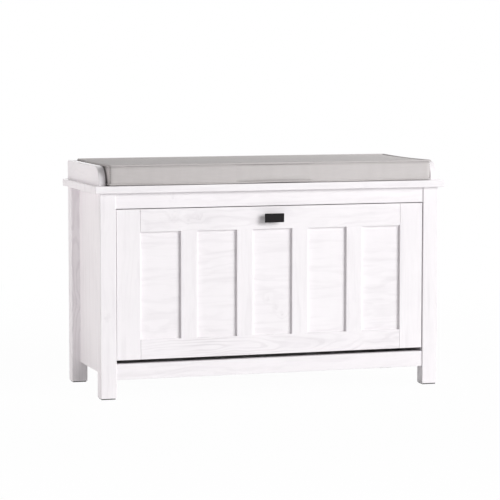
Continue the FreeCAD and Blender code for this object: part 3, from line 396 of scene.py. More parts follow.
def woven_fabric(name):
    """Plain-woven cloth with painted light, darker towards its left end and lighter towards
    its right, and with painted shade in its seams, under its upper piping and on its
    piping.
    """
    material, tree, shader, place = new_material(
        name, Roughness=0.92, Specular_IOR_Level=0.15, Sheen_Weight=0.12,
        Sheen_Roughness=0.5)
    axes = add(tree, "ShaderNodeSeparateXYZ", {"Vector": place})
    facing = add(tree, "ShaderNodeNewGeometry").outputs["Normal"]
    turned = add(tree, "ShaderNodeSeparateXYZ",
                 {"Vector": vector_calc(tree, "ABSOLUTE", facing)})
    top = weave_height(tree, axes.outputs["X"], axes.outputs["Y"])
    front = weave_height(tree, axes.outputs["X"], axes.outputs["Z"])
    end = weave_height(tree, axes.outputs["Y"], axes.outputs["Z"])
    upward = ramp(tree, turned.outputs["Z"], *SIDE_CHANGE)
    endward = ramp(tree, turned.outputs["X"], *SIDE_CHANGE)
    weave = blend_values(tree, upward, blend_values(tree, endward, front, end), top)
    slubs = noise(tree, stretch(tree, place, (SLUB_SLENDERNESS, 1, 1)), SLUB_WAVES, 2)
    wear = noise(tree, stretch(tree, place, (1, 1, WEAR_SLENDERNESS)), WEAR_WAVES, 2)
    light = calc(tree, "ADD", calc(tree, "MULTIPLY", weave, WEAVE_LIGHT),
                 calc(tree, "MULTIPLY", slubs, SLUB_LIGHT))
    light = calc(tree, "ADD", light, calc(tree, "MULTIPLY", wear, WEAR_LIGHT),
                 use_clamp=True)
    # Painted light: the colour darkens towards the cover's left end and lightens towards
    # its right
    painted_light_gradient = ramp(tree, axes.outputs["X"], -PAINTED_LIGHT_REACH, PAINTED_LIGHT_REACH, -PAINTED_LIGHT_SHARE, PAINTED_LIGHT_SHARE)
    colour = blend_colours(tree, calc(tree, "ADD", light, painted_light_gradient, use_clamp=True),
                           FABRIC_SHADE, FABRIC_GREY)
    # Painted shade in the corner seams, in the fold under the upper piping and on the
    # piping
    seam = add(tree, "ShaderNodeAttribute", attribute_name="seam_depth").outputs["Fac"]
    connect(tree, shader, Base_Color=blend_colours(tree, seam, colour, SEAM_SHADE),
            Normal=bump(tree, weave, THREAD_DEPTH, 0.5))
    return material


def sewing_thread(name):
    """Dark twisted thread."""
    material, tree, shader, place = new_material(
        name, Roughness=0.8, Specular_IOR_Level=0.2)
    twist = noise(tree, place, TWIST_WAVES, 2)
    tone = blend_colours(tree, ramp(tree, twist, *TONES_MEET), SEWING_DARK, SEWING_LIGHT)
    connect(tree, shader, Base_Color=tone, Normal=bump(tree, twist, 0.0001, 0.5))
    return material


# Finishes of the small parts and the back

GLOSS_DRIFT = 0.06
HARDBOARD_PAINT = (0.86, 0.85, 0.85, 1)
FIBRE_DARK = (0.20, 0.115, 0.06, 1)
FIBRE_LIGHT = (0.34, 0.22, 0.13, 1)
SPECK_WAVES = 900


def plain_finish(name, colour, other, waves, roughness, **sockets):
    """A finish whose colour and gloss drift a little between two tones."""
    material, tree, shader, place = new_material(name, **sockets)
    drift = noise(tree, place, waves, 3)
    connect(tree, shader,
            Base_Color=blend_colours(tree, ramp(tree, drift, *TONES_MEET), colour, other),
            Roughness=ramp(tree, drift, *TONES_MEET, roughness - GLOSS_DRIFT,
                           roughness + GLOSS_DRIFT),
            Normal=bump(tree, drift, 0.00005, 0.3))
    return material


def hardboard_finish(name):
    """Pressed fibre, painted white on the face towards the shoes and raw behind."""
    material, tree, shader, place = new_material(name, Specular_IOR_Level=0.3)
    low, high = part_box("back_panel")
    depth = add(tree, "ShaderNodeSeparateXYZ", {"Vector": place}).outputs["Y"]
    raw = calc(tree, "GREATER_THAN", depth, (low.y + high.y) / 2)
    specks = noise(tree, place, SPECK_WAVES, 3, 0.7)
    fibre = blend_colours(tree, ramp(tree, specks, 0.35, 0.7), FIBRE_DARK, FIBRE_LIGHT)
    connect(tree, shader, Base_Color=blend_colours(tree, raw, HARDBOARD_PAINT, fibre),
            Roughness=ramp(tree, raw, 0, 1, 0.4, 0.8),
            Normal=bump(tree, specks, 0.0001, 0.4))
    return material


def small_finishes():
    """The finish of each material slot but the white wood and the fabric."""
    return {
        "white_board": plain_finish("smooth_white_foil", (0.88, 0.87, 0.87, 1),
                                    (0.84, 0.83, 0.83, 1), 120, 0.5),
        "hardboard": hardboard_finish("pressed_fibre"),
        "dowel_wood": plain_finish("raw_beech", (0.62, 0.44, 0.27, 1),
                                   (0.52, 0.35, 0.20, 1), 200, 0.6),
        "black_metal": plain_finish("black_powder_coat", (0.010, 0.009, 0.010, 1),
                                    (0.014, 0.012, 0.014, 1), 90, 0.62,
                                    Specular_IOR_Level=0.12),
        "steel": plain_finish("zinc_plate", (0.62, 0.61, 0.59, 1), (0.50, 0.50, 0.48, 1),
                              200, 0.3, Metallic=1.0),
        "magnet": plain_finish("sintered_magnet", (0.05, 0.05, 0.055, 1),
                               (0.07, 0.07, 0.07, 1), 300, 0.5, Metallic=0.6),
        "white_plastic": plain_finish("moulded_white", (0.82, 0.82, 0.80, 1),
                                      (0.78, 0.78, 0.77, 1), 80, 0.4),
        "dark_plastic": plain_finish("moulded_black", (0.03, 0.03, 0.03, 1),
                                     (0.022, 0.022, 0.022, 1), 80, 0.5),
    }


SMALL_FINISHES = small_finishes()
for node, thing in NODES.items():
    finish = SMALL_FINISHES.get(thing.data.materials[0].name)
    if finish:
        dress(node, finish)


# Meshes

def mesh_object(name, vertices, edges=(), faces=(), materials=()):
    """A new object from lists of points, edges and faces."""
    mesh = bpy.data.meshes.new(name)
    mesh.from_pydata(vertices, edges, faces)
    mesh.validate()
    piece = bpy.data.objects.new(name, mesh)
    bpy.context.scene.collection.objects.link(piece)
    for material in materials:
        mesh.materials.append(material)
    return piece


def applied(piece):
    """The piece's evaluated mesh, put in place of its own mesh, with its modifiers gone."""
    graph = bpy.context.evaluated_depsgraph_get()
    mesh = bpy.data.meshes.new_from_object(piece.evaluated_get(graph))
    piece.modifiers.clear()
    piece.data = mesh
    return mesh


# Pieces made by rule: a tree with named sizes, and its result as a plain mesh

def rule_tree(name, *sizes):
    """A geometry tree with a named input for each size and one for the finish."""
    tree = bpy.data.node_groups.new(name, "GeometryNodeTree")
    face = tree.interface
    face.new_socket("Geometry", in_out="INPUT", socket_type="NodeSocketGeometry")
    face.new_socket("Geometry", in_out="OUTPUT", socket_type="NodeSocketGeometry")
    for size in sizes:
        face.new_socket(size, in_out="INPUT", socket_type="NodeSocketFloat")
    face.new_socket("Finish", in_out="INPUT", socket_type="NodeSocketMaterial")
    return tree, add(tree, "NodeGroupInput").outputs


def end_tree(tree, geometry, finish):
    """Ends a tree: its instances made real, and the finish on its faces."""
    real = add(tree, "GeometryNodeRealizeInstances", {"Geometry": geometry}).outputs[0]
    dressed = add(tree, "GeometryNodeSetMaterial", {"Geometry": real, "Material": finish})
    add(tree, "NodeGroupOutput", {"Geometry": dressed.outputs[0]})


def made_by_rule(piece, tree, **sizes):
    """Gives the piece the mesh that the tree makes from the piece's own mesh and these
    sizes."""
    rule = piece.modifiers.new(tree.name, "NODES")
    rule.node_group = tree
    for item in tree.interface.items_tree:
        setting = item.name.replace(" ", "_")
        if item.in_out == "INPUT" and setting in sizes:
            rule[item.identifier] = sizes[setting]
    return applied(piece)


def moved_to(tree, geometry, height, turn=0.0):
    """A copy of the geometry at a height, turned about Z."""
    place = add(tree, "ShaderNodeCombineXYZ", {"Z": height}).outputs[0]
    return add(tree, "GeometryNodeTransform", {
        "Geometry": geometry, "Translation": place, "Rotation": (0, 0, turn)}).outputs[0]


def joined(tree, *parts):
    """All the parts as one geometry."""
    join = add(tree, "GeometryNodeJoinGeometry")
    for part in parts:
        tree.links.new(part, join.inputs[0])
    return join.outputs[0]


def cone(tree, sides, top, bottom, height):
    """A cone from its bottom radius at the origin up to its top radius."""
    return add(tree, "GeometryNodeMeshCone", {
        "Vertices": sides, "Radius Top": top, "Radius Bottom": bottom,
        "Depth": height}).outputs["Mesh"]


def ring(tree, sides, radius):
    """A closed curve round the origin, for a cord or a ridge to follow its shape."""
    return add(tree, "GeometryNodeCurvePrimitiveCircle",
               {"Resolution": sides, "Radius": radius}).outputs[0]


# Screws and nails

# Core, tips and faces are shares of a shank's or a head's radius
SCREW_CORE = 0.78
SCREW_TIP = 2.5
SCREW_BLUNTNESS = 0.0002
SCREW_SIDES = 20
SCREW_HEAD_SIDES = 32
THREAD_SIDES = 4
THREAD_STEPS = 16
# The cross slot's reach and width, by the head's radius, and its depth, by its height
SLOT_REACH = 1.1
SLOT_WIDTH = 0.2
SLOT_DEPTH = 1.2
NAIL_TIP = 3.0
NAIL_FACE = 0.85
NAIL_BLUNTNESS = 0.0001
NAIL_SIDES = 16
NAIL_HEAD_SIDES = 24
# Seed of the turn of each screw and stitch
TWIST_SEED = 4


def shaft(tree, given, sides, radius, tip, bluntness):
    """A fastener's shaft and tip below its head, and how long the straight part is."""
    below = calc(tree, "SUBTRACT", given["Length"], given["Head Height"])
    straight = calc(tree, "SUBTRACT", below, tip)
    rod = add(tree, "GeometryNodeMeshCylinder", {
        "Vertices": sides, "Radius": radius, "Depth": straight}).outputs["Mesh"]
    middle = calc(tree, "ADD", given["Head Height"], calc(tree, "MULTIPLY", straight, 0.5))
    point = cone(tree, sides, bluntness, radius, tip)
    start = calc(tree, "SUBTRACT", given["Length"], tip)
    return moved_to(tree, rod, middle), moved_to(tree, point, start), straight


def screw_tree():
    """Cross-head screws at points whose attribute "way" is the direction of their tips."""
    tree, given = rule_tree("cross_head_screws", "Length", "Head Radius", "Seat Radius",
                            "Head Height", "Shank Radius", "Thread Pitch")
    core = calc(tree, "MULTIPLY", given["Shank Radius"], SCREW_CORE)
    tip = calc(tree, "MULTIPLY", given["Shank Radius"], SCREW_TIP)
    rod, point, straight = shaft(tree, given, SCREW_SIDES, core, tip, SCREW_BLUNTNESS)

    head = cone(tree, SCREW_HEAD_SIDES, given["Seat Radius"], given["Head Radius"],
                given["Head Height"])
    slot = add(tree, "ShaderNodeCombineXYZ", {
        "X": calc(tree, "MULTIPLY", given["Head Radius"], SLOT_REACH),
        "Y": calc(tree, "MULTIPLY", given["Head Radius"], SLOT_WIDTH),
        "Z": calc(tree, "MULTIPLY", given["Head Height"], SLOT_DEPTH)}).outputs[0]
    bar = add(tree, "GeometryNodeMeshCube", {"Size": slot}).outputs["Mesh"]
    cut = add(tree, "GeometryNodeMeshBoolean", {"Mesh 1": head}, operation="DIFFERENCE",
              solver="EXACT")
    for turn in (0.0, math.pi / 2):
        tree.links.new(moved_to(tree, bar, 0.0, turn), cut.inputs["Mesh 2"])

    spiral = add(tree, "GeometryNodeCurveSpiral", {
        "Resolution": THREAD_STEPS, "Start Radius": core, "End Radius": core,
        "Rotations": calc(tree, "DIVIDE", straight, given["Thread Pitch"]),
        "Height": straight}).outputs[0]
    ridge = ring(tree, THREAD_SIDES, calc(tree, "SUBTRACT", given["Shank Radius"], core))
    thread = add(tree, "GeometryNodeCurveToMesh", {
        "Curve": spiral, "Profile Curve": ridge, "Fill Caps": True}).outputs[0]
    screw = joined(tree, cut.outputs["Mesh"], rod, point,
                   moved_to(tree, thread, given["Head Height"]))
    end_tree(tree, set_at_points(tree, given["Geometry"], screw), given["Finish"])
    return tree


def nail_tree():
    """Flat-head nails at points whose attribute "way" is the direction of their tips."""
    tree, given = rule_tree("flat_head_nails", "Length", "Head Radius", "Head Height",
                            "Shank Radius")
    tip = calc(tree, "MULTIPLY", given["Shank Radius"], NAIL_TIP)
    rod, point, _ = shaft(tree, given, NAIL_SIDES, given["Shank Radius"], tip,
                          NAIL_BLUNTNESS)
    face = calc(tree, "MULTIPLY", given["Head Radius"], NAIL_FACE)
    head = cone(tree, NAIL_HEAD_SIDES, given["Head Radius"], face, given["Head Height"])
    nail = joined(tree, head, rod, point)
    end_tree(tree, set_at_points(tree, given["Geometry"], nail), given["Finish"])
    return tree


def set_at_points(tree, points, model):
    """The model at each point, its Z along the point's "way", turned at random about it."""
    way = add(tree, "GeometryNodeInputNamedAttribute", {"Name": "way"},
              data_type="FLOAT_VECTOR")
    aimed = add(tree, "FunctionNodeAlignRotationToVector", {"Vector": way.outputs[0]},
                axis="Z")
    chance = add(tree, "FunctionNodeRandomValue", {"Seed": TWIST_SEED}, data_type="FLOAT")
    angle = calc(tree, "MULTIPLY", chance.outputs[1], 2 * math.pi)
    twist = add(tree, "ShaderNodeCombineXYZ", {"Z": angle}).outputs[0]
    twist = add(tree, "FunctionNodeEulerToRotation", {"Euler": twist}).outputs[0]
    turned = add(tree, "FunctionNodeRotateRotation",
                 {"Rotation": aimed.outputs[0], "Rotate By": twist},
                 rotation_space="LOCAL").outputs[0]
    return add(tree, "GeometryNodeInstanceOnPoints", {
        "Points": points, "Instance": model, "Rotation": turned}).outputs[0]


def points_with_ways(name, places, ways):
    """An object of loose points, each with the direction in which it lies."""
    piece = mesh_object(name, places)
    attribute = piece.data.attributes.new("way", "FLOAT_VECTOR", "POINT")
    for point, way in zip(attribute.data, ways):
        point.vector = way
    return piece


def islands(node):
    """The corners of each separate solid in a CAD node."""
    build = bmesh.new()
    build.from_mesh(NODES[node].data)
    bmesh.ops.remove_doubles(build, verts=build.verts, dist=1e-6)
    waiting, found = set(build.verts), []
    while waiting:
        edge, solid = [waiting.pop()], []
        while edge:
            vertex = edge.pop()
            solid.append(vertex.co.copy())
            near = {link.other_vert(vertex) for link in vertex.link_edges} & waiting
            waiting -= near
            edge.extend(near)
        found.append(solid)
    build.free()
    return found


# A fastener's corners, sorted by their distance from its axis and below its head
RIM_FROM = 0.98
SHANK_WALL = (0.9, 1.02)
SHANK_FROM = 0.6
AT_FACE = 1e-5


def measure_fastener(corners):
    """A turned fastener's head centre, direction, length, head radius, head height and
    shank radius."""
    low = Vector([min(corner[k] for corner in corners) for k in range(3)])
    high = Vector([max(corner[k] for corner in corners) for k in range(3)])
    size, middle = high - low, (low + high) / 2
    axis = max(range(3), key=lambda k: size[k])

    def off_axis(corner):
        aside = corner - middle
        aside[axis] = 0
        return aside.length

    widest = max(off_axis(corner) for corner in corners)
    rim = [corner for corner in corners if off_axis(corner) > RIM_FROM * widest]
    away = 1 if sum(corner[axis] for corner in rim) / len(rim) < middle[axis] else -1
    face = min(corner[axis] * away for corner in rim)
    way = Vector([away if k == axis else 0 for k in range(3)])
    depth = {corner.freeze(): corner[axis] * away - face for corner in corners}
    length = max(depth.values())
    shank = max(off_axis(corner) for corner in corners
                if depth[corner] > SHANK_FROM * length)
    inner, outer = (share * shank for share in SHANK_WALL)
    height = min(depth[corner] for corner in corners
                 if depth[corner] > AT_FACE and inner < off_axis(corner) < outer)
    head = middle + way * (face - middle[axis] * away)
    return head, way, length, widest, height, shank


def driven_set(name, node, body, tree, pan=False, pitch=None):
    """Screws or nails in place of a CAD node's, one at each of its solids."""
    measured = [measure_fastener(corners) for corners in islands(node)]
    measured.sort(key=lambda found: tuple(found[0]))
    piece = points_with_ways(name, [found[0] for found in measured],
                             [found[1] for found in measured])
    length, radius, height, shank = measured[0][2:]
    sizes = {"Length": length, "Head_Radius": radius, "Head_Height": height,
             "Shank_Radius": shank, "Finish": SMALL_FINISHES["steel"]}
    if pitch:
        sizes.update(Seat_Radius=radius if pan else shank, Thread_Pitch=pitch)
    made_by_rule(piece, tree, **sizes)
    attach(piece, body)
    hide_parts(node)


def all_fasteners():
    """Each set of screws or nails, on the body that carries it."""
    screws, nails = screw_tree(), nail_tree()
    driven_set("rack_screw_set", "rack_screws", "flap", screws, pitch=0.0018)
    driven_set("strike_screw_set", "strike_screws", "flap", screws, pitch=0.0009)
    driven_set("knob_screw_turned", "knob_screw", "flap", screws, pan=True, pitch=0.0008)
    driven_set("catch_screw_set", "catch_screws", "carcass", screws, pitch=0.0013)
    driven_set("arm_screw_set", "arm_screws", "carcass", screws, pitch=0.0018)
    driven_set("back_nail_set", "back_panel_nails", "carcass", nails)


all_fasteners()


# Seat cushion

# The cover's plan. The slacks keep it off the arms and the back upstand.
COVER_MARGIN = 0.0005
COVER_CORNER = 0.0025
CORNER_STEPS = 4
END_SLACK = 0.0016
BACK_SLACK = 0.0012
SIDE_PULL = 0.003
# Heights above the cushion's underside
COVER_START = 0.0007
LOWER_SEAM = 0.0027
UPPER_SEAM = 0.0501
# The top's shape. A larger flatness brings the ends' sag nearer the ends.
CROWN = 0.0042
END_SAG = 0.0025
END_FLATNESS = 8
# The lower seam touches the board at a place and once more at this spacing from it
LOWER_TOUCH = 0.185
TOUCH_SPACING = 0.305
SEAM_WAVE = 0.0007
# The cloth, and how far its filling may move it
VOXEL = 0.006
SIM_FRAMES = 20
FILLING_PRESSURE = 4
SWELL_UP = 0.0015
SWELL_OUT = 0.0010
SWELL_DOWN = 0.0004
SEAM_GRIP = 0.004
# How the seams draw the cover in, and how dark the painted shade in them and in the fold
# under the upper piping is, from 0 to 1
UPRIGHT_SEAM_WIDTH = 0.003
UPRIGHT_SEAM_DEPTH = 0.0006
UPRIGHT_SEAM_SHADE = 0.30
FOLD_REACH = 0.012
FOLD_BELOW = 0.004
FOLD_WIDTH = 0.0025
FOLD_SHADE = 0.25
# Piping and stitches
UPPER_PIPING = 0.0027
LOWER_PIPING = 0.0022
PIPING_SUNK = 0.0003
PIPING_SIDES = 12
PIPING_STEP = 0.004
# Painted shade that darkens the piping cord, from 0 to 1
PIPING_SHADE = 0.10
STITCH_PITCH = 0.005
STITCH_LENGTH = 0.0034
STITCH_RADIUS = 0.0005
STITCH_LEAN = math.radians(25)
STITCH_SIDES = 8
STITCH_RINGS = 6
# From where, outside the cover, a stitch is put on its surface
OUTSIDE_COVER = 0.02

cushion_low, cushion_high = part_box("cushion")
cushion_middle = (cushion_low + cushion_high) / 2
cushion_half = (cushion_high - cushion_low) / 2
cover_middle = cushion_middle - Vector((END_SLACK, BACK_SLACK, 0))
cover_half = cushion_half - Vector((END_SLACK, BACK_SLACK, 0))
lower_seam = cushion_low.z + LOWER_SEAM
upper_seam = cushion_low.z + UPPER_SEAM


def even_points(line, spacing):
    """Points at even spacing round a closed line."""
    closed = line + [line[0]]
    lengths = [(b - a).length for a, b in zip(closed, closed[1:])]
    count = round(sum(lengths) / spacing)
    step = sum(lengths) / count
    points, index, start = [], 0, 0.0
    for number in range(count):
        along = number * step
        while along > start + lengths[index]:
            start += lengths[index]
            index += 1
        share = (along - start) / lengths[index]
        points.append(closed[index].lerp(closed[index + 1], share))
    return points


def top_shape(x, y):
    """How far the top stands above the upper seam: crowned in the middle, sagging at
    the ends."""
    along = min(abs(x - cushion_middle.x) / cushion_half.x, 1.0)
    across = min(abs(y - cushion_middle.y) / cushion_half.y, 1.0)
    end = along ** END_FLATNESS
    return (CROWN * (1 - end) - END_SAG * end) * (1 - across ** 2)


def lower_rise(x):
    """How far the lower seam stands off the board, on which it rests in two places."""
    aside, wave = x - LOWER_TOUCH, TOUCH_SPACING
    if aside < -TOUCH_SPACING:
        aside, wave = aside + TOUCH_SPACING, 2 * TOUCH_SPACING
    return SEAM_WAVE * (1 - math.cos(2 * math.pi * aside / wave))


def cushion_line(margin, spacing, level):
    """A line round the cushion with rounded corners and drawn-in long sides."""
    half_x, half_y = cover_half.x - margin, cover_half.y - margin
    line = []
    for turn, (side_x, side_y) in enumerate(((1, 1), (-1, 1), (-1, -1), (1, -1))):
        centre = Vector((side_x * (half_x - COVER_CORNER),
                         side_y * (half_y - COVER_CORNER), 0))
        for step in range(CORNER_STEPS + 1):
            angle = math.pi / 2 * (turn + step / CORNER_STEPS)
            way = Vector((math.cos(angle), math.sin(angle), 0))
            line.append(centre + COVER_CORNER * way)
    points = even_points(line, spacing)
    for point in points:
        pull = SIDE_PULL * (1 - (point.x / half_x) ** 2)
        point.y *= 1 - pull / half_y
        point.x += cover_middle.x
        point.y += cover_middle.y
        point.z = level
        if level == upper_seam:
            point.z += top_shape(point.x, point.y)
        if level == lower_seam:
            point.z += lower_rise(point.x)
    return points


def unfilled_cover(material):
    """The cushion's cover before it is filled, in even cells."""
    low = cushion_line(COVER_MARGIN, VOXEL, cushion_low.z + COVER_START)
    high = [Vector((point.x, point.y, upper_seam)) for point in low]
    count = len(low)
    walls = [(k, (k + 1) % count, count + (k + 1) % count, count + k) for k in range(count)]
    caps = [tuple(reversed(range(count))), tuple(range(count, 2 * count))]
    cover = mesh_object("seat_cushion", low + high, [], walls + caps, [material])
    remesh = cover.modifiers.new("cells", "REMESH")
    remesh.mode = "VOXEL"
    remesh.voxel_size = VOXEL
    applied(cover)
    height = upper_seam - lower_seam
    for vertex in cover.data.vertices:
        up = min(max((vertex.co.z - lower_seam) / height, 0.0), 1.0)
        vertex.co.z += up ** 3 * top_shape(vertex.co.x, vertex.co.y)
    return cover


def seam_grip(cover):
    """A group of the cover's points that the two seams hold."""
    group = cover.vertex_groups.new(name="seams")
    lines = [cushion_line(COVER_MARGIN, VOXEL, level) for level in (lower_seam, upper_seam)]
    tree = KDTree(sum(len(line) for line in lines))
    for number, point in enumerate(lines[0] + lines[1]):
        tree.insert(point, number)
    tree.balance()
    held = [vertex.index for vertex in cover.data.vertices
            if tree.find(vertex.co)[2] < SEAM_GRIP]
    group.add(held, 1.0, "REPLACE")
    return group


def soft_limit(value, limit):
    """The value, held smoothly below a limit."""
    return limit * math.tanh(value / limit)


def fill_cover(cover):
    """Cloth simulation: the filling swells the cover between its seams."""
    group = seam_grip(cover)
    cloth = cover.modifiers.new("filling", "CLOTH")
    cloth.settings.vertex_group_mass = group.name
    cloth.settings.use_pressure = True
    cloth.settings.uniform_pressure_force = FILLING_PRESSURE
    cloth.settings.effector_weights.gravity = 0
    cloth.point_cache.frame_start = 1
    cloth.point_cache.frame_end = SIM_FRAMES
    for frame_number in range(1, SIM_FRAMES + 1):
        bpy.context.scene.frame_set(frame_number)
    graph = bpy.context.evaluated_depsgraph_get()
    swollen = cover.evaluated_get(graph).data
    places = [vertex.co.copy() for vertex in swollen.vertices]
    cover.modifiers.clear()
    for vertex, place in zip(cover.data.vertices, places):
        move = place - vertex.co
        up_limit = SWELL_UP if move.z > 0 else SWELL_DOWN
        vertex.co += Vector((soft_limit(move.x, SWELL_OUT), soft_limit(move.y, SWELL_OUT),
                             soft_limit(move.z, up_limit)))
    cover.vertex_groups.clear()


def smooth_cover(cover):
    """Rounds the cover's cells off."""
    subdivision = cover.modifiers.new("smooth", "SUBSURF")
    subdivision.levels = subdivision.render_levels = 1
    applied(cover)


def piping_tree():
    """A round cord along a closed line of edges."""
    tree, given = rule_tree("piping", "Cord Radius")
    line = add(tree, "GeometryNodeMeshToCurve", {"Mesh": given["Geometry"]}).outputs[0]
    profile = ring(tree, PIPING_SIDES, given["Cord Radius"])
    cord = add(tree, "GeometryNodeCurveToMesh", {"Curve": line, "Profile Curve": profile})
    end_tree(tree, cord.outputs[0], given["Finish"])
    return tree


def corner_points():
    """Where the cover's four upright corner seams stand, seen from above."""
    half_x, half_y = cover_half.x - COVER_MARGIN, cover_half.y - COVER_MARGIN
    return [Vector((cover_middle.x + side_x * half_x, cover_middle.y + side_y * half_y, 0))
            for side_x in (-1, 1) for side_y in (-1, 1)]


def sew_seams(cover):
    """Draws the cover in along its upright corner seams, and keeps at each point how much
    painted shade darkens the fabric there, in those seams or in the fold under the upper
    piping."""
    depth = cover.data.attributes.new("seam_depth", "FLOAT", "POINT")
    corners = corner_points()
    for vertex in cover.data.vertices:
        aside = vertex.co - cover_middle
        flat = Vector((vertex.co.x, vertex.co.y, 0))
        near = min((flat - corner).length for corner in corners)
        upright = math.exp(-(near / UPRIGHT_SEAM_WIDTH) ** 2)
        inward = min(cover_half.x - abs(aside.x), cover_half.y - abs(aside.y))
        level = vertex.co.z - upper_seam - top_shape(vertex.co.x, vertex.co.y)
        fold = math.exp(-((level + FOLD_BELOW) / FOLD_WIDTH) ** 2)
        # Painted shade in the upright corner seams and in the fold under the upper piping
        shade = UPRIGHT_SEAM_SHADE * upright
        if inward < FOLD_REACH:
            shade += FOLD_SHADE * fold
        depth.data[vertex.index].value = shade
        vertex.co.x -= math.copysign(UPRIGHT_SEAM_DEPTH * upright, aside.x)
        vertex.co.y -= math.copysign(UPRIGHT_SEAM_DEPTH * upright, aside.y)


def stitch_tree():
    """Short threads at points whose attribute "way" is the direction in which each
    lies."""
    tree, given = rule_tree("seam_stitches", "Length", "Radius")
    bead = add(tree, "GeometryNodeMeshUVSphere", {
        "Segments": STITCH_SIDES, "Rings": STITCH_RINGS, "Radius": 1.0}).outputs["Mesh"]
    size = add(tree, "ShaderNodeCombineXYZ", {
        "X": given["Radius"], "Y": given["Radius"],
        "Z": calc(tree, "MULTIPLY", given["Length"], 0.5)}).outputs[0]
    thread = add(tree, "GeometryNodeTransform", {"Geometry": bead, "Scale": size})
    stitches = set_at_points(tree, given["Geometry"], thread.outputs[0])
    end_tree(tree, stitches, given["Finish"])
    return tree


def corner_stitches(surface):
    """Zigzag stitches over each upright corner seam, lying on the cover's surface."""
    height = upper_seam - lower_seam - 2 * STITCH_PITCH
    count = round(height / STITCH_PITCH)
    places, ways = [], []
    for corner in corner_points():
        outward = Vector((math.copysign(1, corner.x - cover_middle.x),
                          math.copysign(1, corner.y - cover_middle.y), 0)).normalized()
        across = Vector((-outward.y, outward.x, 0))
        for number in range(count + 1):
            level = Vector((0, 0, lower_seam + STITCH_PITCH + height * number / count))
            outside = corner + level + OUTSIDE_COVER * outward
            places.append(surface.ray_cast(outside, -outward)[0])
            lean = STITCH_LEAN * (-1) ** number
            ways.append(math.cos(lean) * across + Vector((0, 0, math.sin(lean))))
    piece = points_with_ways("corner_stitches", places, ways)
    made_by_rule(piece, stitch_tree(), Length=STITCH_LENGTH, Radius=STITCH_RADIUS,
                 Finish=sewing_thread("seam_thread"))
    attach(piece, "cushion")


def cushion_piece():
    """The filled cover with its seams, piping and stitches."""
    fabric = woven_fabric("plain_grey_weave")
    cover = unfilled_cover(fabric)
    fill_cover(cover)
    smooth_cover(cover)
    sew_seams(cover)
    build = bmesh.new()
    build.from_mesh(cover.data)
    corner_stitches(BVHTree.FromBMesh(build))
    sewn = len(build.verts)
    rule = piping_tree()
    for level, radius in ((lower_seam, LOWER_PIPING), (upper_seam, UPPER_PIPING)):
        line = cushion_line(COVER_MARGIN + PIPING_SUNK, PIPING_STEP, level)
        edges = [(k, (k + 1) % len(line)) for k in range(len(line))]
        seam = mesh_object("piping", line, edges)
        build.from_mesh(made_by_rule(seam, rule, Cord_Radius=radius, Finish=fabric))
        bpy.data.objects.remove(seam)
    build.verts.ensure_lookup_table()
    # Painted shade: the piping's fabric is darkened evenly
    shade = build.verts.layers.float["seam_depth"]
    for vertex in build.verts[sewn:]:
        vertex[shade] = PIPING_SHADE
    bmesh.ops.recalc_face_normals(build, faces=build.faces)
    for face in build.faces:
        face.smooth = True
    build.to_mesh(cover.data)
    build.free()
    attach(cover, "cushion")
    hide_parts("cushion")


cushion_piece()


# Camera, light and stage

CAMERA_PLACE = (-1.7633, -5.4851, 0.8762)
CAMERA_TURN = -17.743
CAMERA_TILT = 5.232
CAMERA_LENS = 159.97
SENSOR_WIDTH = 36
SIDE_TINT = (1.0, 0.955, 0.945)
WHITE = (1, 1, 1, 1)
FLOOR_COLOUR = (0.85, 0.85, 0.85, 1)
# How far from the middle the floor starts and ends to turn fully white
FLOOR_WHITENS = (0.5, 2.5)


def photograph_camera():
    """A long lens left of the bench and a little above it."""
    lens = bpy.data.cameras.new("camera")
    lens.lens = CAMERA_LENS
    lens.sensor_width = SENSOR_WIDTH
    camera = bpy.data.objects.new("camera", lens)
    camera.location = CAMERA_PLACE
    camera.rotation_euler = (math.radians(90 - CAMERA_TILT), 0, math.radians(CAMERA_TURN))
    bpy.context.scene.collection.objects.link(camera)
    bpy.context.scene.camera = camera


def softbox(name, azimuth, elevation, distance, width, height, level, tint=(1, 1, 1)):
    """An area lamp aimed at the bench's middle. Its level is the share of a surface's
    own colour that it gives a surface facing it."""
    middle = (cad_box[0] + cad_box[1]) / 2
    turn, rise = math.radians(azimuth), math.radians(elevation)
    way = Vector((math.sin(turn) * math.cos(rise), -math.cos(turn) * math.cos(rise),
                  math.sin(rise)))
    lamp = bpy.data.lights.new(name, "AREA")
    lamp.shape = "RECTANGLE"
    lamp.size, lamp.size_y = width, height
    lamp.energy = level * math.pi ** 2 * distance ** 2
    lamp.color = tint
    holder = bpy.data.objects.new(name, lamp)
    holder.location = middle + way * distance
    holder.rotation_euler = (-way).to_track_quat("-Z", "Y").to_euler()
    bpy.context.scene.collection.objects.link(holder)


def seen_directly(tree):
    """1 for what the camera sees, also in a mirror or through glass, and 0 for light on
    things."""
    path = add(tree, "ShaderNodeLightPath")
    mirrored = calc(tree, "MAXIMUM", path.outputs["Is Glossy Ray"],
                    path.outputs["Is Transmission Ray"])
    return calc(tree, "MAXIMUM", path.outputs["Is Camera Ray"], mirrored)


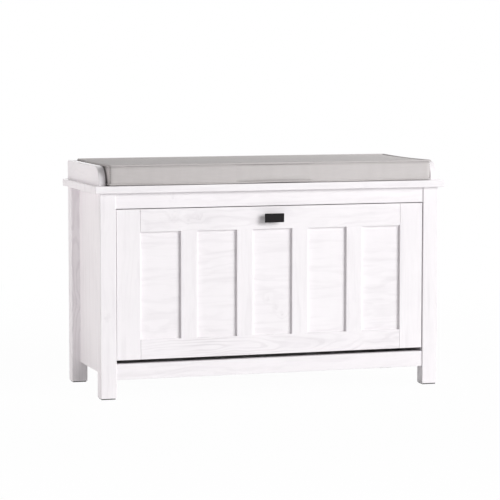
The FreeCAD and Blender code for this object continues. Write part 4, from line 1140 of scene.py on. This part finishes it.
def white_surroundings(level):
    """A world that looks white and lights the bench evenly at a level."""
    world = bpy.data.worlds.new("surroundings")
    bpy.context.scene.world = world
    world.use_nodes = True
    tree = world.node_tree
    tree.nodes.clear()
    light = add(tree, "ShaderNodeBackground", {"Color": WHITE, "Strength": level})
    look = add(tree, "ShaderNodeBackground", {"Color": WHITE, "Strength": 1.0})
    mixed = add(tree, "ShaderNodeMixShader",
                {0: seen_directly(tree), 1: light.outputs[0], 2: look.outputs[0]})
    add(tree, "ShaderNodeOutputWorld", {"Surface": mixed.outputs[0]})


def pale_floor(half, glow):
    """A floor that looks nearly white and still takes the bench's shadow."""
    material = bpy.data.materials.new("pale_floor")
    material.use_nodes = True
    tree = material.node_tree
    tree.nodes.clear()
    matt = add(tree, "ShaderNodeBsdfDiffuse", {"Color": FLOOR_COLOUR})
    white = add(tree, "ShaderNodeEmission", {"Color": WHITE, "Strength": 1.0})
    far = vector_length(tree, add(tree, "ShaderNodeTexCoord").outputs["Object"])
    share = calc(tree, "MULTIPLY", seen_directly(tree),
                 ramp(tree, far, *FLOOR_WHITENS, glow, 1.0))
    mixed = add(tree, "ShaderNodeMixShader",
                {0: share, 1: matt.outputs[0], 2: white.outputs[0]})
    add(tree, "ShaderNodeOutputMaterial", {"Surface": mixed.outputs[0]})
    corners = [(-half, -half, 0), (half, -half, 0), (half, half, 0), (-half, half, 0)]
    mesh_object("floor", corners, faces=[(0, 1, 2, 3)], materials=[material])


photograph_camera()
bpy.context.scene.view_settings.view_transform = "Standard"
white_surroundings(level=0.30)
softbox("key_light", azimuth=41, elevation=16.5, distance=14, width=7.5, height=6.5,
        level=0.87)
softbox("side_light", azimuth=-112, elevation=10, distance=8, width=5, height=5,
        level=0.10, tint=SIDE_TINT)
softbox("near_light", azimuth=-90, elevation=1, distance=0.95, width=0.33, height=1.0,
        level=0.20, tint=SIDE_TINT)
softbox("back_light", azimuth=170, elevation=4, distance=8, width=5, height=4,
        level=0.35)
softbox("end_light", azimuth=95, elevation=48, distance=1.5, width=0.6, height=0.6,
        level=0.09)
pale_floor(half=20, glow=0.975)
